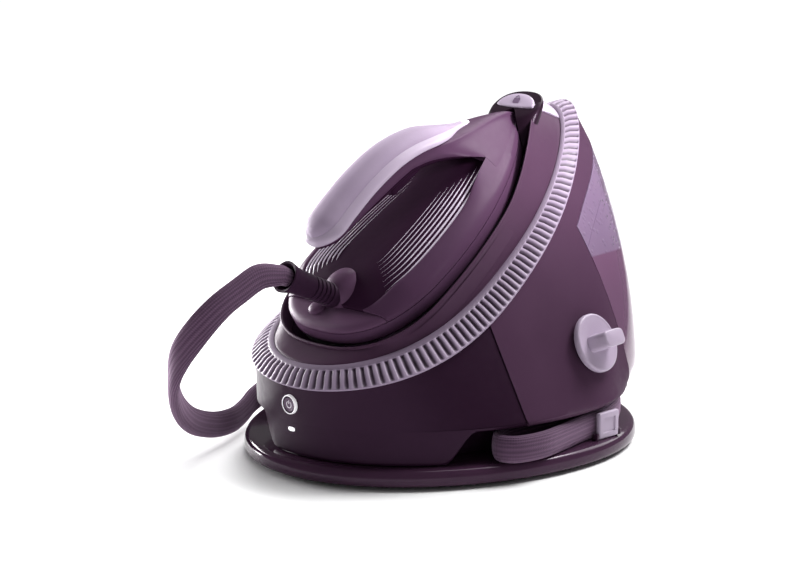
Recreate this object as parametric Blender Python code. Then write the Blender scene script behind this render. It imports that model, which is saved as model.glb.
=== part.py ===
"""Steam generator iron: a base with boiler and water tank, and an iron docked on its sloping top.

Metres, +Z up, front (control panel) towards -Y, descaling knob on the +X side, origin on the
floor under the middle of the base plate.
"""
import bpy
import bmesh
from math import atan2, cos, pi, radians, sin, sqrt, tan
from mathutils import Matrix, Vector

OBJECT_NAME = "steam_generator_iron"
MM = 0.001
GAP = 0.3 * MM
CUT_CLEAR = 0.6 * MM
OUTLINE_POINTS = 64
IRON_POINTS = 48

# Base plate and neck
PLATE_HALF_WIDTH = 149 * MM
PLATE_HALF_DEPTH = 170 * MM
PLATE_REAR_FLARE = 0.12
PLATE_BOTTOM = 3 * MM
PLATE_TOP = 16 * MM
PLATE_WALL = 3 * MM
TRAY_SHEET = 1.6 * MM
FOOT_RADIUS = 11 * MM
FOOT_SPREAD = Vector((82 * MM, 106 * MM))
NECK_INSET = 46 * MM
NECK_FRONT_GAIN = 20 * MM
NECK_TOP = 38.2 * MM

# Body between neck and ring
BODY_WALL = 3 * MM
BODY_BOTTOM = 41.5 * MM
BODY_INSET = 8 * MM
BODY_FRONT_INSET = 4 * MM
BODY_REAR_SWELL = 9 * MM
BODY_SPLIT_Y = -33 * MM
BODY_SPLIT_LEAN = radians(6)

# Ring on the sloping top; its two ends curl up out of the plane
RING_CENTRE = Vector((0, 12.4 * MM, 145 * MM))
RING_TILT = radians(30)
RING_HALF_LENGTH = 187 * MM
RING_HALF_WIDTH = 91 * MM
RING_TAPER = 0.44
RING_CURL = 27.7 * MM
RING_TWIST = 5.2 * MM
RIB_BAND_RISE = 11.8 * MM
RIB_BAND_INSET = 14.4 * MM
TRIM_INSET = 4.5 * MM
TRIM_RISE = 1.5 * MM
RING_WALL = 3 * MM

# Iron and its dock
IRON_CENTRE = Vector((0, -6 * MM, 165 * MM))
IRON_TILT = radians(33)
SOLE_HALF_WIDTH = 70 * MM
SOLE_WIDEST_Q = -55 * MM
SOLE_POINT = 1.7
SOLE_NOSE = 136 * MM
SOLE_HEEL = -132 * MM
SOLE_THICK = 8 * MM
SKIRT_TOP = 20 * MM
SHELL_TOP = 36 * MM
SHELL_WALL = 2.6 * MM
HEEL_TOP = 26 * MM
HEEL_SPLIT = -94 * MM
LIP_MARGIN = 7 * MM
LIP_NOSE_MARGIN = 24 * MM
LIP_WIDEST_Q = -70 * MM
LIP_POINT = 2.1
LIP_RISE = 8 * MM
LIP_WIDTH = 2.4 * MM
TRAY_DEPTH = 5 * MM
TRAY_THICK = 2.5 * MM
REST_SIZE = Vector((62 * MM, 12 * MM, 4.7 * MM))
REST_PLACES = (-78 * MM, 46 * MM)

# Handle of the iron
GRIP_OVERHANG = 2.2 * MM
TRIGGER_PLACE = (2 * MM, 67 * MM)
TRIGGER_SIZE = Vector((15 * MM, 36 * MM, 9 * MM))
TRIGGER_TRAVEL = 4 * MM

# Steam hose
HOSE_START_GAP = 4.5 * MM
HOSE_HALF = Vector((4.5 * MM, 10.5 * MM))
BOOT_BORE = 7 * MM
BOOT_START = Vector((0, -115.6 * MM, 139 * MM))
BOOT_END = Vector((0, -163 * MM, 158 * MM))
BOOT_RADIUS = 9.6 * MM
BOOT_MOUTH_RADIUS = 12.5 * MM
BOOT_GROOVES = 5
KNUCKLE_RADIUS = 15 * MM

# Carry lock
LOCK_HALF_WIDTH = 33 * MM
LOCK_FRONT_Q = 112 * MM
LOCK_REAR_Q = 171 * MM
LOCK_TOP = 35 * MM
LOCK_NOSE_CLEAR = 1.5 * MM
LOCK_BUTTON_HALF = Vector((15 * MM, 9.5 * MM))
LOCK_BUTTON_Q = 156 * MM
LOCK_BUTTON_TRAVEL = 2.5 * MM

# Controls
POWER_HEIGHT = 56.6 * MM
POWER_RADIUS = 6.6 * MM
POWER_TRAVEL = 1.5 * MM
BEZEL_RADIUS = 8.8 * MM
LED_HEIGHT = 44.2 * MM
LED_HALF = Vector((3.6 * MM, 1.6 * MM))
KNOB_CENTRE = Vector((56 * MM, 89 * MM))
KNOB_RADIUS = 24 * MM
KNOB_THICK = 9 * MM
KNOB_BAR = Vector((12 * MM, 13 * MM, 44 * MM))
SOCKET_RADIUS = 18 * MM
SOCKET_BORE = 11 * MM

# Water tank in the rear of the body
TANK_APEX = Vector((0, 87 * MM, 176 * MM))
TANK_FOOT_Y = 112 * MM
TANK_ROOF_SLOPE = radians(40)
TANK_WALL = 2.5 * MM
TANK_LID_THICK = 15 * MM
TANK_BACK = 260 * MM
BULKHEAD_THICK = 2.5 * MM
BULKHEAD_REACH = 66 * MM

# Hose clip on the plate's rim
CLIP_Y = 56 * MM
CLIP_WIDTH = 24 * MM
CLIP_HEIGHT = 21.5 * MM
CLIP_THICK = 5 * MM
CLIP_RIM_MARGIN = 5.5 * MM
CLIP_BARREL = 2.2 * MM

# Pieces inside the body
BOILER_RADIUS = 52 * MM
BOILER_HEIGHT = 62 * MM
BOILER_PLACE = Vector((0, 6 * MM))
PUMP_RADIUS = 14 * MM
PUMP_LENGTH = 52 * MM
PUMP_PLACE = Vector((-58 * MM, 72 * MM))
BOARD_SIZE = Vector((56 * MM, 2 * MM, 50 * MM))
BOARD_Y = -128 * MM
INLET_SIZE = Vector((9 * MM, 14 * MM, 21 * MM))
MAINS_RADIUS = 3.8 * MM
MAINS_HEIGHT = 9.3 * MM

# Hose route as (angle round the plate in degrees, distance inside its edge, height): out of the
# boot and down in a loop at the left, then stored round the neck in three runs: an inner one to
# a bend on the right, an outer one to a bend on the left, a middle one to the inlet
HOSE_LANE = 26.9
HOSE_ROUTE = [
    (-90, -18, 161), (-90.5, -36, 153), (-91.5, -54, 142), (-94, -68.5, 124.5), (-98, -76, 103.5),
    (-102.5, -74.5, 81), (-109, -63.5, 56), (-117, -47, 35), (-127, -27.5, 21), (-136, -14, 16.5),
    (-145, -10, 17), (-152, -8, 22), (-160, -2, HOSE_LANE), (-168, 13, HOSE_LANE), (-177, 30, HOSE_LANE),
    (172, 37.5, HOSE_LANE), (150, 38.5, HOSE_LANE), (130, 38.5, HOSE_LANE), (110, 38.5, HOSE_LANE),
    (90, 38.5, HOSE_LANE), (70, 38.5, HOSE_LANE), (50, 38.5, HOSE_LANE), (30, 38.5, HOSE_LANE),
    (8, 39.5, HOSE_LANE), (-3, 39, HOSE_LANE), (-13, 33.5, HOSE_LANE), (-18, 21.5, HOSE_LANE),
    (-19, 9, HOSE_LANE), (-15.5, 1, HOSE_LANE), (-8, 2.5, HOSE_LANE), (0, 9.5, HOSE_LANE),
    (10, 15.5, HOSE_LANE), (20, 17, HOSE_LANE), (40, 16, HOSE_LANE), (60, 15.5, HOSE_LANE),
    (80, 15, HOSE_LANE), (100, 15, HOSE_LANE), (120, 15.5, HOSE_LANE), (140, 15.5, HOSE_LANE),
    (154, 14.5, HOSE_LANE), (163, 12, HOSE_LANE), (168, 12, HOSE_LANE), (171, 20, HOSE_LANE),
    (167, 27, HOSE_LANE), (160, 27, HOSE_LANE), (140, 27, HOSE_LANE), (120, 27, HOSE_LANE),
    (100, 27, HOSE_LANE), (80, 27, HOSE_LANE), (60, 27, HOSE_LANE), (54.5, 27, HOSE_LANE), (51, 27, HOSE_LANE)]
HOSE_STEP = 30 * MM
HOSE_SIDES = 12


def power(value, exponent):
    """Signed power used by the rounded outlines."""
    return abs(value) ** (2 / exponent) * (1 if value >= 0 else -1)


def angles(count=OUTLINE_POINTS):
    return [2 * pi * (i + 0.5) / count for i in range(count)]


def plate_point(t, inset, z):
    """Point at an angle round the base, so far inside its rounded outline, wider behind than in front."""
    y = (PLATE_HALF_DEPTH - inset) * power(sin(t), 2.1)
    x = (PLATE_HALF_WIDTH - inset) * power(cos(t), 2.05)
    return Vector((x * (1 + PLATE_REAR_FLARE * y / PLATE_HALF_DEPTH), y, z))


def plate_outline(inset, z):
    """Outline of the base at a height; inset is a number or a function of the angle."""
    return [plate_point(t, inset(t) if callable(inset) else inset, z) for t in angles()]


def hose_route():
    """Route of the hose from the boot's mouth to its inlet."""
    along = (BOOT_END - BOOT_START).normalized()
    points = [BOOT_END + along * HOSE_START_GAP]
    for degrees, inset, z in HOSE_ROUTE:
        points.append(plate_point(radians(degrees), inset * MM, z * MM))
    return points


def neck_inset(extra):
    return lambda t: NECK_INSET + extra - NECK_FRONT_GAIN * max(0, -sin(t)) ** 2


def body_inset(extra):
    return lambda t: BODY_INSET + extra + BODY_FRONT_INSET * max(0, -sin(t)) ** 2


def ring_outline(inset, lift):
    """Egg-shaped ring in world space: narrow at the top rear, both ends curled up."""
    turn = Matrix.Rotation(RING_TILT, 3, "X")
    points = []
    for t in angles():
        q = (RING_HALF_LENGTH - inset) * power(sin(t), 2.75)
        share = q / RING_HALF_LENGTH
        p = (RING_HALF_WIDTH - inset) * power(cos(t), 1.95) * (1 - RING_TAPER * share)
        h = lift + RING_CURL * share ** 2 + RING_TWIST * share ** 3
        points.append(RING_CENTRE + turn @ Vector((p, q, h)))
    return points


def body_outlines(extra, steps=5):
    """Sections of the body from its lower edge up to the ring, swelling out behind the ring."""
    low = plate_outline(body_inset(extra), BODY_BOTTOM)
    high = ring_outline(extra + 1 * MM, -GAP)
    sections = []
    for i in range(steps + 1):
        share = i / steps
        swell = BODY_REAR_SWELL * 4 * share * (1 - share)
        section = []
        for t, a, b in zip(angles(), low, high):
            out = Vector((cos(t), sin(t), 0)) * swell * max(0, sin(t)) ** 0.7
            section.append(a.lerp(b, share) + out)
        sections.append(section)
    return sections


def iron_outline(margin, nose_margin, count, widest, point):
    """Outline in the iron's own plane, pointed at the nose and round at the heel."""
    points = []
    for t in angles(count):
        if sin(t) > 0:
            q = widest + (SOLE_NOSE + nose_margin - widest) * sin(t)
            p = (SOLE_HALF_WIDTH + margin) * power(cos(t), 2 / point)
        else:
            q = widest + (widest - SOLE_HEEL + margin) * power(sin(t), 2.3)
            p = (SOLE_HALF_WIDTH + margin) * power(cos(t), 2.5)
        points.append((p, q))
    return points


def iron_section(margin, h):
    """Sole outline at a height, grown or shrunk by a margin."""
    outline = iron_outline(margin, margin, IRON_POINTS, SOLE_WIDEST_Q, SOLE_POINT)
    return [Vector((p, q, h)) for p, q in outline]


def lip_section(margin, h):
    """Inner edge of the dock's collar at a height, in the iron's plane."""
    outline = iron_outline(LIP_MARGIN + margin, LIP_NOSE_MARGIN + margin, OUTLINE_POINTS,
                           LIP_WIDEST_Q, LIP_POINT)
    return [Vector((p, q, h)) for p, q in outline]


def lip_outline(margin, h):
    """The same edge in world space."""
    turn = Matrix.Rotation(IRON_TILT, 3, "X")
    return [IRON_CENTRE + turn @ point for point in lip_section(margin, h)]


def new_collection(name):
    collection = bpy.data.collections.new(name)
    bpy.context.scene.collection.children.link(collection)
    return collection


def material(name, colour, roughness, metallic=0.0, alpha=1.0):
    """Principled finish from an sRGB hex colour."""
    finish = bpy.data.materials.get(name) or bpy.data.materials.new(name)
    finish.use_nodes = True
    shader = finish.node_tree.nodes["Principled BSDF"]
    channels = [int(colour[i:i + 2], 16) / 255 for i in (0, 2, 4)]
    linear = [c / 12.92 if c <= 0.04045 else ((c + 0.055) / 1.055) ** 2.4 for c in channels]
    shader.inputs["Base Color"].default_value = (*linear, 1.0)
    shader.inputs["Roughness"].default_value = roughness
    shader.inputs["Metallic"].default_value = metallic
    shader.inputs["Alpha"].default_value = alpha
    return finish


FINISHES = {
    "gloss_plum": ("3A2438", 0.12), "satin_plum": ("3F2A3E", 0.4), "satin_mauve": ("6F566F", 0.4),
    "mauve_shell": ("8A6E8E", 0.35), "lilac": ("CDBBD6", 0.45), "dark_plum": ("2B1A2C", 0.35),
    "black": ("17121A", 0.4), "rubber": ("1C1A1C", 0.8), "steel": ("B8B8BC", 0.3, 1.0),
    "white_ring": ("F4F0F6", 0.3), "brass": ("B08D57", 0.35, 1.0), "board": ("2F5D3A", 0.5),
    "clear_purple": ("6A4A6E", 0.08, 0.0, 0.55), "hose_cloth": ("5F4860", 0.8),
    "silicone": ("4A3A4C", 0.7), "soft_lilac": ("BBA9C8", 0.6), "lamp": ("E8E0FF", 0.2),
}


def finish_object(name, mesh, finish, parent=None, collection=None, matrix=None):
    """Wrap a mesh as a named part with its material, shaded smooth but for real edges."""
    part = bpy.data.objects.new(name, mesh)
    (collection or PARTS).objects.link(part)
    mesh.materials.clear()
    mesh.materials.append(material(finish, *FINISHES[finish]))
    mesh.shade_smooth()
    mesh.set_sharp_from_angle(angle=radians(35))
    if parent:
        part.parent = parent
    if matrix:
        part.matrix_local = matrix
    return part


def mesh_from(bm, name):
    """Close a bmesh with its faces pointing out and hand it over as a mesh."""
    bmesh.ops.recalc_face_normals(bm, faces=bm.faces)
    if bm.calc_volume(signed=True) < 0:
        bmesh.ops.reverse_faces(bm, faces=bm.faces)
    mesh = bpy.data.meshes.new(name)
    bm.to_mesh(mesh)
    bm.free()
    return mesh


def fan(bm, ring):
    middle = sum((v.co for v in ring), Vector()) / len(ring)
    centre = bm.verts.new(middle)
    for a, b in zip(ring, ring[1:] + ring[:1]):
        bm.faces.new((a, b, centre))


def loft(name, sections, looped=False):
    """Skin closed sections in turn; a looped skin joins last to first, else both ends are capped."""
    bm = bmesh.new()
    rings = [[bm.verts.new(point) for point in section] for section in sections]
    pairs = list(zip(rings, rings[1:]))
    if looped:
        pairs.append((rings[-1], rings[0]))
    for low, high in pairs:
        for i in range(len(low)):
            j = (i + 1) % len(low)
            bm.faces.new((low[i], low[j], high[j], high[i]))
    if not looped:
        fan(bm, rings[0])
        fan(bm, rings[-1])
    return mesh_from(bm, name)


def cup(name, outer, inner):
    """Skin an open vessel: outer sections to the mouth, then inner sections back to the floor."""
    return loft(name, outer + inner[::-1])


def prism(name, outline, axis, low, high):
    """Extrude an outline of (u, v) points along X or Y between two places."""
    def place(u, v, w):
        return Vector((w, u, v)) if axis == "X" else Vector((u, w, v))
    ends = [[place(u, v, w) for u, v in outline] for w in (low, high)]
    bm = bmesh.new()
    rings = [[bm.verts.new(point) for point in end] for end in ends]
    for i in range(len(outline)):
        j = (i + 1) % len(outline)
        bm.faces.new((rings[0][i], rings[0][j], rings[1][j], rings[1][i]))
    bm.faces.new(rings[0])
    bm.faces.new(rings[1])
    return mesh_from(bm, name)


def cylinder(name, radius, low, high, end_radius=None, sides=32):
    """Round bar or cone along Z, as a mesh."""
    bm = bmesh.new()
    top = radius if end_radius is None else end_radius
    centre = Matrix.Translation((0, 0, (low + high) / 2))
    bmesh.ops.create_cone(bm, cap_ends=True, segments=sides, radius1=radius, radius2=top,
                          depth=high - low, matrix=centre)
    return mesh_from(bm, name)


def block(name, size, centre, bevel=0.0):
    """Box with softened edges, as a mesh."""
    bm = bmesh.new()
    place = Matrix.Translation(centre) @ Matrix.Diagonal((*size, 1))
    bmesh.ops.create_cube(bm, size=1, matrix=place)
    if bevel:
        bmesh.ops.bevel(bm, geom=bm.edges[:], offset=bevel, segments=2, affect="EDGES", profile=0.5)
    return mesh_from(bm, name)


def turned(name, profile, sides=32):
    """Turn an (r, z) outline about Z; the outline runs round the section of the wall."""
    rings = []
    for r, z in profile:
        rings.append([Vector((r * cos(t), r * sin(t), z)) for t in angles(sides)])
    return loft(name, rings, looped=True)


def facing(direction, origin):
    """Matrix that turns local +Z to a direction and moves to an origin."""
    return Matrix.Translation(origin) @ direction.to_track_quat("Z", "Y").to_matrix().to_4x4()


def cutter(name, mesh, matrix=None, parent=None):
    tool = finish_object(name, mesh, "steel", parent, CUTTERS, matrix)
    tool.hide_render = True
    tool.display_type = "WIRE"
    return tool


def boolean(part, tool, operation="DIFFERENCE"):
    modifier = part.modifiers.new(operation.lower(), "BOOLEAN")
    modifier.operation = operation
    modifier.solver = "EXACT"
    modifier.object = tool
    return modifier


def rounded_outline(half, exponent, count=32):
    return [(half[0] * power(cos(t), exponent), half[1] * power(sin(t), exponent))
            for t in angles(count)]


def frame_empty(name, origin, tilt):
    empty = bpy.data.objects.new(name, None)
    PARTS.objects.link(empty)
    empty.location = origin
    empty.rotation_euler = (tilt, 0, 0)
    return empty


def plate_edge_x(y, inset=0.0):
    """Half width of the plate at a given depth."""
    share = min(1, abs(y) / (PLATE_HALF_DEPTH - inset)) ** (2.1 / 2)
    width = (PLATE_HALF_WIDTH - inset) * sqrt(max(0, 1 - share ** 2)) ** (2 / 2.05)
    return width * (1 + PLATE_REAR_FLARE * y / PLATE_HALF_DEPTH)


def wall_x(y, z):
    """Outer half width of the body wall at a given depth and height, read off its sections."""
    columns = zip(*body_outlines(0))
    level = []
    for column in columns:
        for a, b in zip(column, column[1:]):
            if a.z <= z < b.z and a.x > 0:
                level.append(a.lerp(b, (z - a.z) / (b.z - a.z)))
    level.sort(key=lambda point: point.y)
    for a, b in zip(level, level[1:]):
        if a.y <= y <= b.y:
            return a.lerp(b, (y - a.y) / (b.y - a.y)).x
    return level[0].x


def wall_normal(y, z, reach=12 * MM):
    """Outward direction of the side wall near a point."""
    by_y = (wall_x(y + reach, z) - wall_x(y - reach, z)) / (2 * reach)
    by_z = (wall_x(y, z + reach) - wall_x(y, z - reach)) / (2 * reach)
    return Vector((1, -by_y, -by_z)).normalized()


def make_base():
    """Glossy plate with its underside tray and rubber feet."""
    top, bottom = PLATE_TOP, PLATE_BOTTOM
    outer = [plate_outline(2 * MM, bottom), plate_outline(0, bottom + 4 * MM),
             plate_outline(0.8 * MM, top - 3.5 * MM), plate_outline(3 * MM, top - 1 * MM),
             plate_outline(5 * MM, top)]
    inner = [plate_outline(2 * MM + PLATE_WALL, bottom), plate_outline(PLATE_WALL, bottom + 4 * MM),
             plate_outline(7 * MM, top - PLATE_WALL)]
    plate = finish_object("base_plate", cup("base_plate", inner[::-1], outer[::-1]), "gloss_plum")
    hole = cylinder("mains_hole", MAINS_RADIUS + GAP, -20 * MM, 20 * MM)
    boolean(plate, cutter("mains_hole", hole, mains_matrix()))
    grommet = [(MAINS_RADIUS * 0.7, -6 * MM), (MAINS_RADIUS, -6 * MM), (MAINS_RADIUS, 0), (MAINS_RADIUS * 0.7, 0)]
    finish_object("mains_gland", turned("mains_gland", grommet, 24), "rubber", matrix=mains_matrix())
    rim = 2 * MM + PLATE_WALL + GAP
    low = bottom - 0.2 * MM
    tray = [plate_outline(rim, low), plate_outline(rim, low + TRAY_SHEET)]
    finish_object("base_tray", loft("base_tray", tray), "satin_plum")
    for i, (sx, sy) in enumerate(((-1, -1), (1, -1), (-1, 1), (1, 1)), 1):
        spot = Vector((sx * FOOT_SPREAD.x, sy * FOOT_SPREAD.y, 0))
        mesh = cylinder(f"foot_{i}", FOOT_RADIUS - 1 * MM, 0, bottom - 0.2 * MM - GAP / 3, FOOT_RADIUS)
        finish_object(f"foot_{i}", mesh, "rubber", matrix=Matrix.Translation(spot))


def mains_matrix():
    """Place of the mains lead's grommet in the rear rim of the plate."""
    return facing(Vector((0, 1, 0)), Vector((0, PLATE_HALF_DEPTH, MAINS_HEIGHT)))


def split_tool(name, front):
    """Large block on one side of the leaning line where the front and rear housings meet."""
    half = 400 * MM
    side = -1 if front else 1
    mesh = block(name, Vector((2 * half, half, 2 * half)), Vector((0, side * (half / 2 + GAP / 2), 0)))
    place = Matrix.Translation((0, BODY_SPLIT_Y, BODY_BOTTOM)) @ Matrix.Rotation(BODY_SPLIT_LEAN, 4, "X")
    return cutter(name, mesh, place)


def bay_front(drop, setback):
    """Point (y, z) where the bay's leaning front, moved back, meets its roof plane, moved down."""
    slope = tan(TANK_ROOF_SLOPE)
    lean = (TANK_FOOT_Y - TANK_APEX.y) / (TANK_APEX.z - BODY_BOTTOM)
    fall = drop / cos(TANK_ROOF_SLOPE)
    run = (lean * fall + setback) / (1 + lean * slope)
    return TANK_APEX.y + run, TANK_APEX.z + run * slope - fall


def bay_foot(z, setback):
    """Depth of the bay's leaning front, moved back, at a height."""
    lean = (TANK_FOOT_Y - TANK_APEX.y) / (TANK_APEX.z - BODY_BOTTOM)
    return TANK_APEX.y + lean * (TANK_APEX.z - z) + setback


def roof_back(drop):
    """Height of the roof plane, moved down, at the far back."""
    y, z = bay_front(drop, 0)
    return z + (TANK_BACK - y) * tan(TANK_ROOF_SLOPE)


def bay_prism(name, low, drop, setback):
    """Everything behind the bay's front and under its roof, above a height."""
    outline = [(bay_foot(low, setback), low), (TANK_BACK, low), (TANK_BACK, roof_back(drop)),
               bay_front(drop, setback)]
    return prism(name, outline, "X", -TANK_BACK, TANK_BACK)


def roof_prism(name, deep, shallow, setback):
    """Slab under the bay's roof between two depths."""
    outline = [bay_front(deep, setback), (TANK_BACK, roof_back(deep)), (TANK_BACK, roof_back(shallow)),
               bay_front(shallow, setback)]
    return prism(name, outline, "X", -TANK_BACK, TANK_BACK)


def make_body():
    """Front and rear housings cut from one wall, with the tank bay open behind."""
    neck = [plate_outline(neck_inset(0), PLATE_TOP + GAP), plate_outline(neck_inset(0), NECK_TOP)]
    neck_in = [plate_outline(neck_inset(BODY_WALL), PLATE_TOP + GAP),
               plate_outline(neck_inset(BODY_WALL), NECK_TOP + BODY_WALL)]
    inner = body_outlines(BODY_WALL)
    lift = Vector((0, 0, BODY_WALL))
    inner[0] = [point + lift for point in inner[0]]
    wall = neck + body_outlines(0) + (neck_in + inner)[::-1]
    # The bay is cut only above the neck, so the neck stays whole all round.
    bay = cutter("tank_bay", bay_prism("tank_bay", BODY_BOTTOM - CUT_CLEAR, -CUT_CLEAR, -CUT_CLEAR))
    for name, front, finish in (("front_housing", True, "satin_plum"), ("rear_housing", False, "satin_mauve")):
        part = finish_object(name, loft(name, wall, looped=True), finish)
        boolean(part, split_tool(name + "_split", front), "INTERSECT")
        if front:
            boolean(part, cutter("power_hole", cylinder("power_hole", POWER_RADIUS + 1.4 * MM, -0.03, 0.03),
                                 front_matrix(POWER_HEIGHT)))
            led = cutter("led_hole", led_mesh("led_hole", LED_HALF + Vector((GAP, GAP)), -0.02, 0.02),
                         front_matrix(LED_HEIGHT))
            boolean(part, led)
        else:
            boolean(part, bay)
            hole = cylinder("knob_hole", SOCKET_RADIUS + GAP, -0.05, 0.05)
            boolean(part, cutter("knob_hole", hole, knob_matrix()))


def front_wall_y(z):
    """Front surface of the body on its middle plane."""
    sections = body_outlines(0)
    for low, high in zip(sections, sections[1:]):
        a = min(low, key=lambda point: point.y)
        b = min(high, key=lambda point: point.y)
        if a.z <= z <= b.z:
            return a.lerp(b, (z - a.z) / (b.z - a.z)).y
    return min(point.y for point in sections[0])


def front_matrix(z):
    """Place on the front wall, facing out along its slight lean."""
    lean = (front_wall_y(z + 5 * MM) - front_wall_y(z - 5 * MM)) / (10 * MM)
    return facing(Vector((0, -1, lean)), Vector((0, front_wall_y(z), z)))


def led_mesh(name, half, low, high):
    """Flattened round bar along Z, wide across the front wall."""
    outline = rounded_outline(half, 3, 24)
    return loft(name, [[Vector((u, v, h)) for u, v in outline] for h in (low, high)])


def knob_matrix():
    """Knob axis: out of the side wall, along its normal."""
    y, z = KNOB_CENTRE
    return facing(wall_normal(y, z), Vector((wall_x(y, z), y, z)))


def make_ring():
    """Lilac ring: sloping rib band and the smooth trim strip inside it."""
    band = [ring_outline(0, 0), ring_outline(-0.4 * MM, 1.6 * MM),
            ring_outline(RIB_BAND_INSET, RIB_BAND_RISE),
            ring_outline(RIB_BAND_INSET + TRIM_INSET, RIB_BAND_RISE + TRIM_RISE)]
    back = [ring_outline(RIB_BAND_INSET + TRIM_INSET, RIB_BAND_RISE + TRIM_RISE - RING_WALL),
            ring_outline(RIB_BAND_INSET, RIB_BAND_RISE - RING_WALL - 0.6 * MM),
            ring_outline(RING_WALL, 0)]
    finish_object("rib_ring", loft("rib_ring", band + back, looped=True), "lilac")


def make_dock():
    """Collar round the dock, the tray inside it and two soft rests under the sole."""
    edge = RIB_BAND_INSET + TRIM_INSET + GAP
    rise = RIB_BAND_RISE + TRIM_RISE
    collar = [ring_outline(edge, rise - RING_WALL / 2), ring_outline(edge, rise),
              lip_outline(LIP_WIDTH, LIP_RISE - 1 * MM), lip_outline(LIP_WIDTH / 2, LIP_RISE),
              lip_outline(0, LIP_RISE - 1 * MM), lip_outline(0, -TRAY_DEPTH + GAP),
              lip_outline(LIP_WIDTH, -TRAY_DEPTH + GAP), lip_outline(LIP_WIDTH, LIP_RISE - 5 * MM)]
    finish_object("dock_collar", loft("dock_collar", collar, looped=True), "mauve_shell")
    outline = [lip_section(-GAP, h) for h in (-TRAY_DEPTH - TRAY_THICK, -TRAY_DEPTH)]
    finish_object("dock_tray", loft("dock_tray", outline), "dark_plum", IRON_DOCK)
    for i, q in enumerate(REST_PLACES, 1):
        centre = Vector((0, q, -TRAY_DEPTH + GAP + REST_SIZE.z / 2))
        finish_object(f"sole_rest_{i}", block(f"sole_rest_{i}", REST_SIZE, centre, 1.5 * MM), "silicone", IRON_DOCK)


def make_lock():
    """Black hood that hugs the nose from behind, with its lilac release button."""
    middle = (LOCK_FRONT_Q + LOCK_REAR_Q) / 2
    reach = (LOCK_REAR_Q - LOCK_FRONT_Q) / 2
    low = LIP_RISE + GAP
    stations = ((low, 0.97), (low + 0.35 * (LOCK_TOP - low), 1.0), (low + 0.8 * (LOCK_TOP - low), 0.86),
                (LOCK_TOP, 0.66))
    sections = []
    for h, share in stations:
        lean = (h - low) * 0.22
        outline = rounded_outline((LOCK_HALF_WIDTH * share, reach * share), 2.3, 40)
        sections.append([Vector((u, middle + reach * (1 - share) * 0.5 + v - lean, h)) for u, v in outline])
    hood = finish_object("lock_hood", loft("lock_hood", sections), "black", IRON_DOCK)
    nose = [iron_section(LOCK_NOSE_CLEAR, h) for h in (-20 * MM, 80 * MM)]
    boolean(hood, cutter("nose_cutter", loft("nose_cutter", nose), parent=IRON_DOCK))
    place = Matrix.Translation((0, LOCK_BUTTON_Q, LOCK_TOP))
    recess = button_mesh("lock_recess", CUT_CLEAR, -8 * MM, 8 * MM)
    boolean(hood, cutter("lock_recess", recess, place, IRON_DOCK))
    button = button_mesh("lock_button", 0, -8 * MM + LOCK_BUTTON_TRAVEL + GAP, 2.6 * MM)
    finish_object("lock_button", button, "lilac", IRON_DOCK, matrix=place)


def button_mesh(name, grow, low, high):
    """Rounded triangle, blunt end to the rear."""
    outline = []
    for t in angles(28):
        v = (LOCK_BUTTON_HALF[1] + grow) * power(sin(t), 2.2)
        u = (LOCK_BUTTON_HALF[0] + grow) * power(cos(t), 1.8) * (1 - 0.25 * sin(t))
        outline.append((u, v))
    return loft(name, [[Vector((u, v, h)) for u, v in outline] for h in (low, high)])


def make_controls():
    """Power button in its bezel, indicator lens, and the descaling knob with plug and socket."""
    face = front_matrix(POWER_HEIGHT)
    ring = [(BEZEL_RADIUS, 0.6 * MM), (BEZEL_RADIUS, 1.3 * MM), (BEZEL_RADIUS - 1 * MM, 1.8 * MM),
            (POWER_RADIUS + 0.5 * MM, 1.8 * MM), (POWER_RADIUS + 0.5 * MM, -5 * MM),
            (POWER_RADIUS + 1.4 * MM - GAP, -5 * MM), (POWER_RADIUS + 1.4 * MM - GAP, 0.6 * MM)]
    finish_object("power_bezel", turned("power_bezel", ring[::-1]), "white_ring", matrix=face)
    button = cylinder("power_button", POWER_RADIUS, -6 * MM, 1.4 * MM)
    finish_object("power_button", button, "satin_plum", matrix=face)
    behind = BOARD_Y - BOARD_SIZE.y / 2 - front_wall_y(POWER_HEIGHT)
    seat = cylinder("switch_body", POWER_RADIUS + 1 * MM, 0.9 * MM - behind, -6 * MM - POWER_TRAVEL - GAP)
    finish_object("switch_body", seat, "black", matrix=face)
    finish_object("indicator_lens", led_mesh("indicator_lens", LED_HALF, -4 * MM, 0.5 * MM), "lamp",
                  matrix=front_matrix(LED_HEIGHT))
    side = knob_matrix()
    socket = [(SOCKET_RADIUS, 0.5 * MM), (SOCKET_BORE + GAP, 0.5 * MM), (SOCKET_BORE + GAP, -32 * MM),
              (SOCKET_RADIUS, -32 * MM)]
    finish_object("descale_socket", turned("descale_socket", socket), "black", matrix=side)
    plug = cylinder("descale_plug", SOCKET_BORE - GAP, -30 * MM, 2.2 * MM)
    finish_object("descale_plug", plug, "steel", matrix=side)
    knob = finish_object("descale_knob", cylinder("descale_knob", KNOB_RADIUS, 2.5 * MM, 2.5 * MM + KNOB_THICK,
                                                  KNOB_RADIUS - 2 * MM, 40), "lilac", matrix=side)
    bar = block("knob_bar", Vector((KNOB_BAR.y, KNOB_BAR.z, KNOB_BAR.x + 6 * MM)),
                Vector((0, 0, 2.5 * MM + KNOB_THICK + KNOB_BAR.x / 2 - 3 * MM)), 2 * MM)
    boolean(knob, cutter("knob_bar", bar, side), "UNION")


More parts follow.
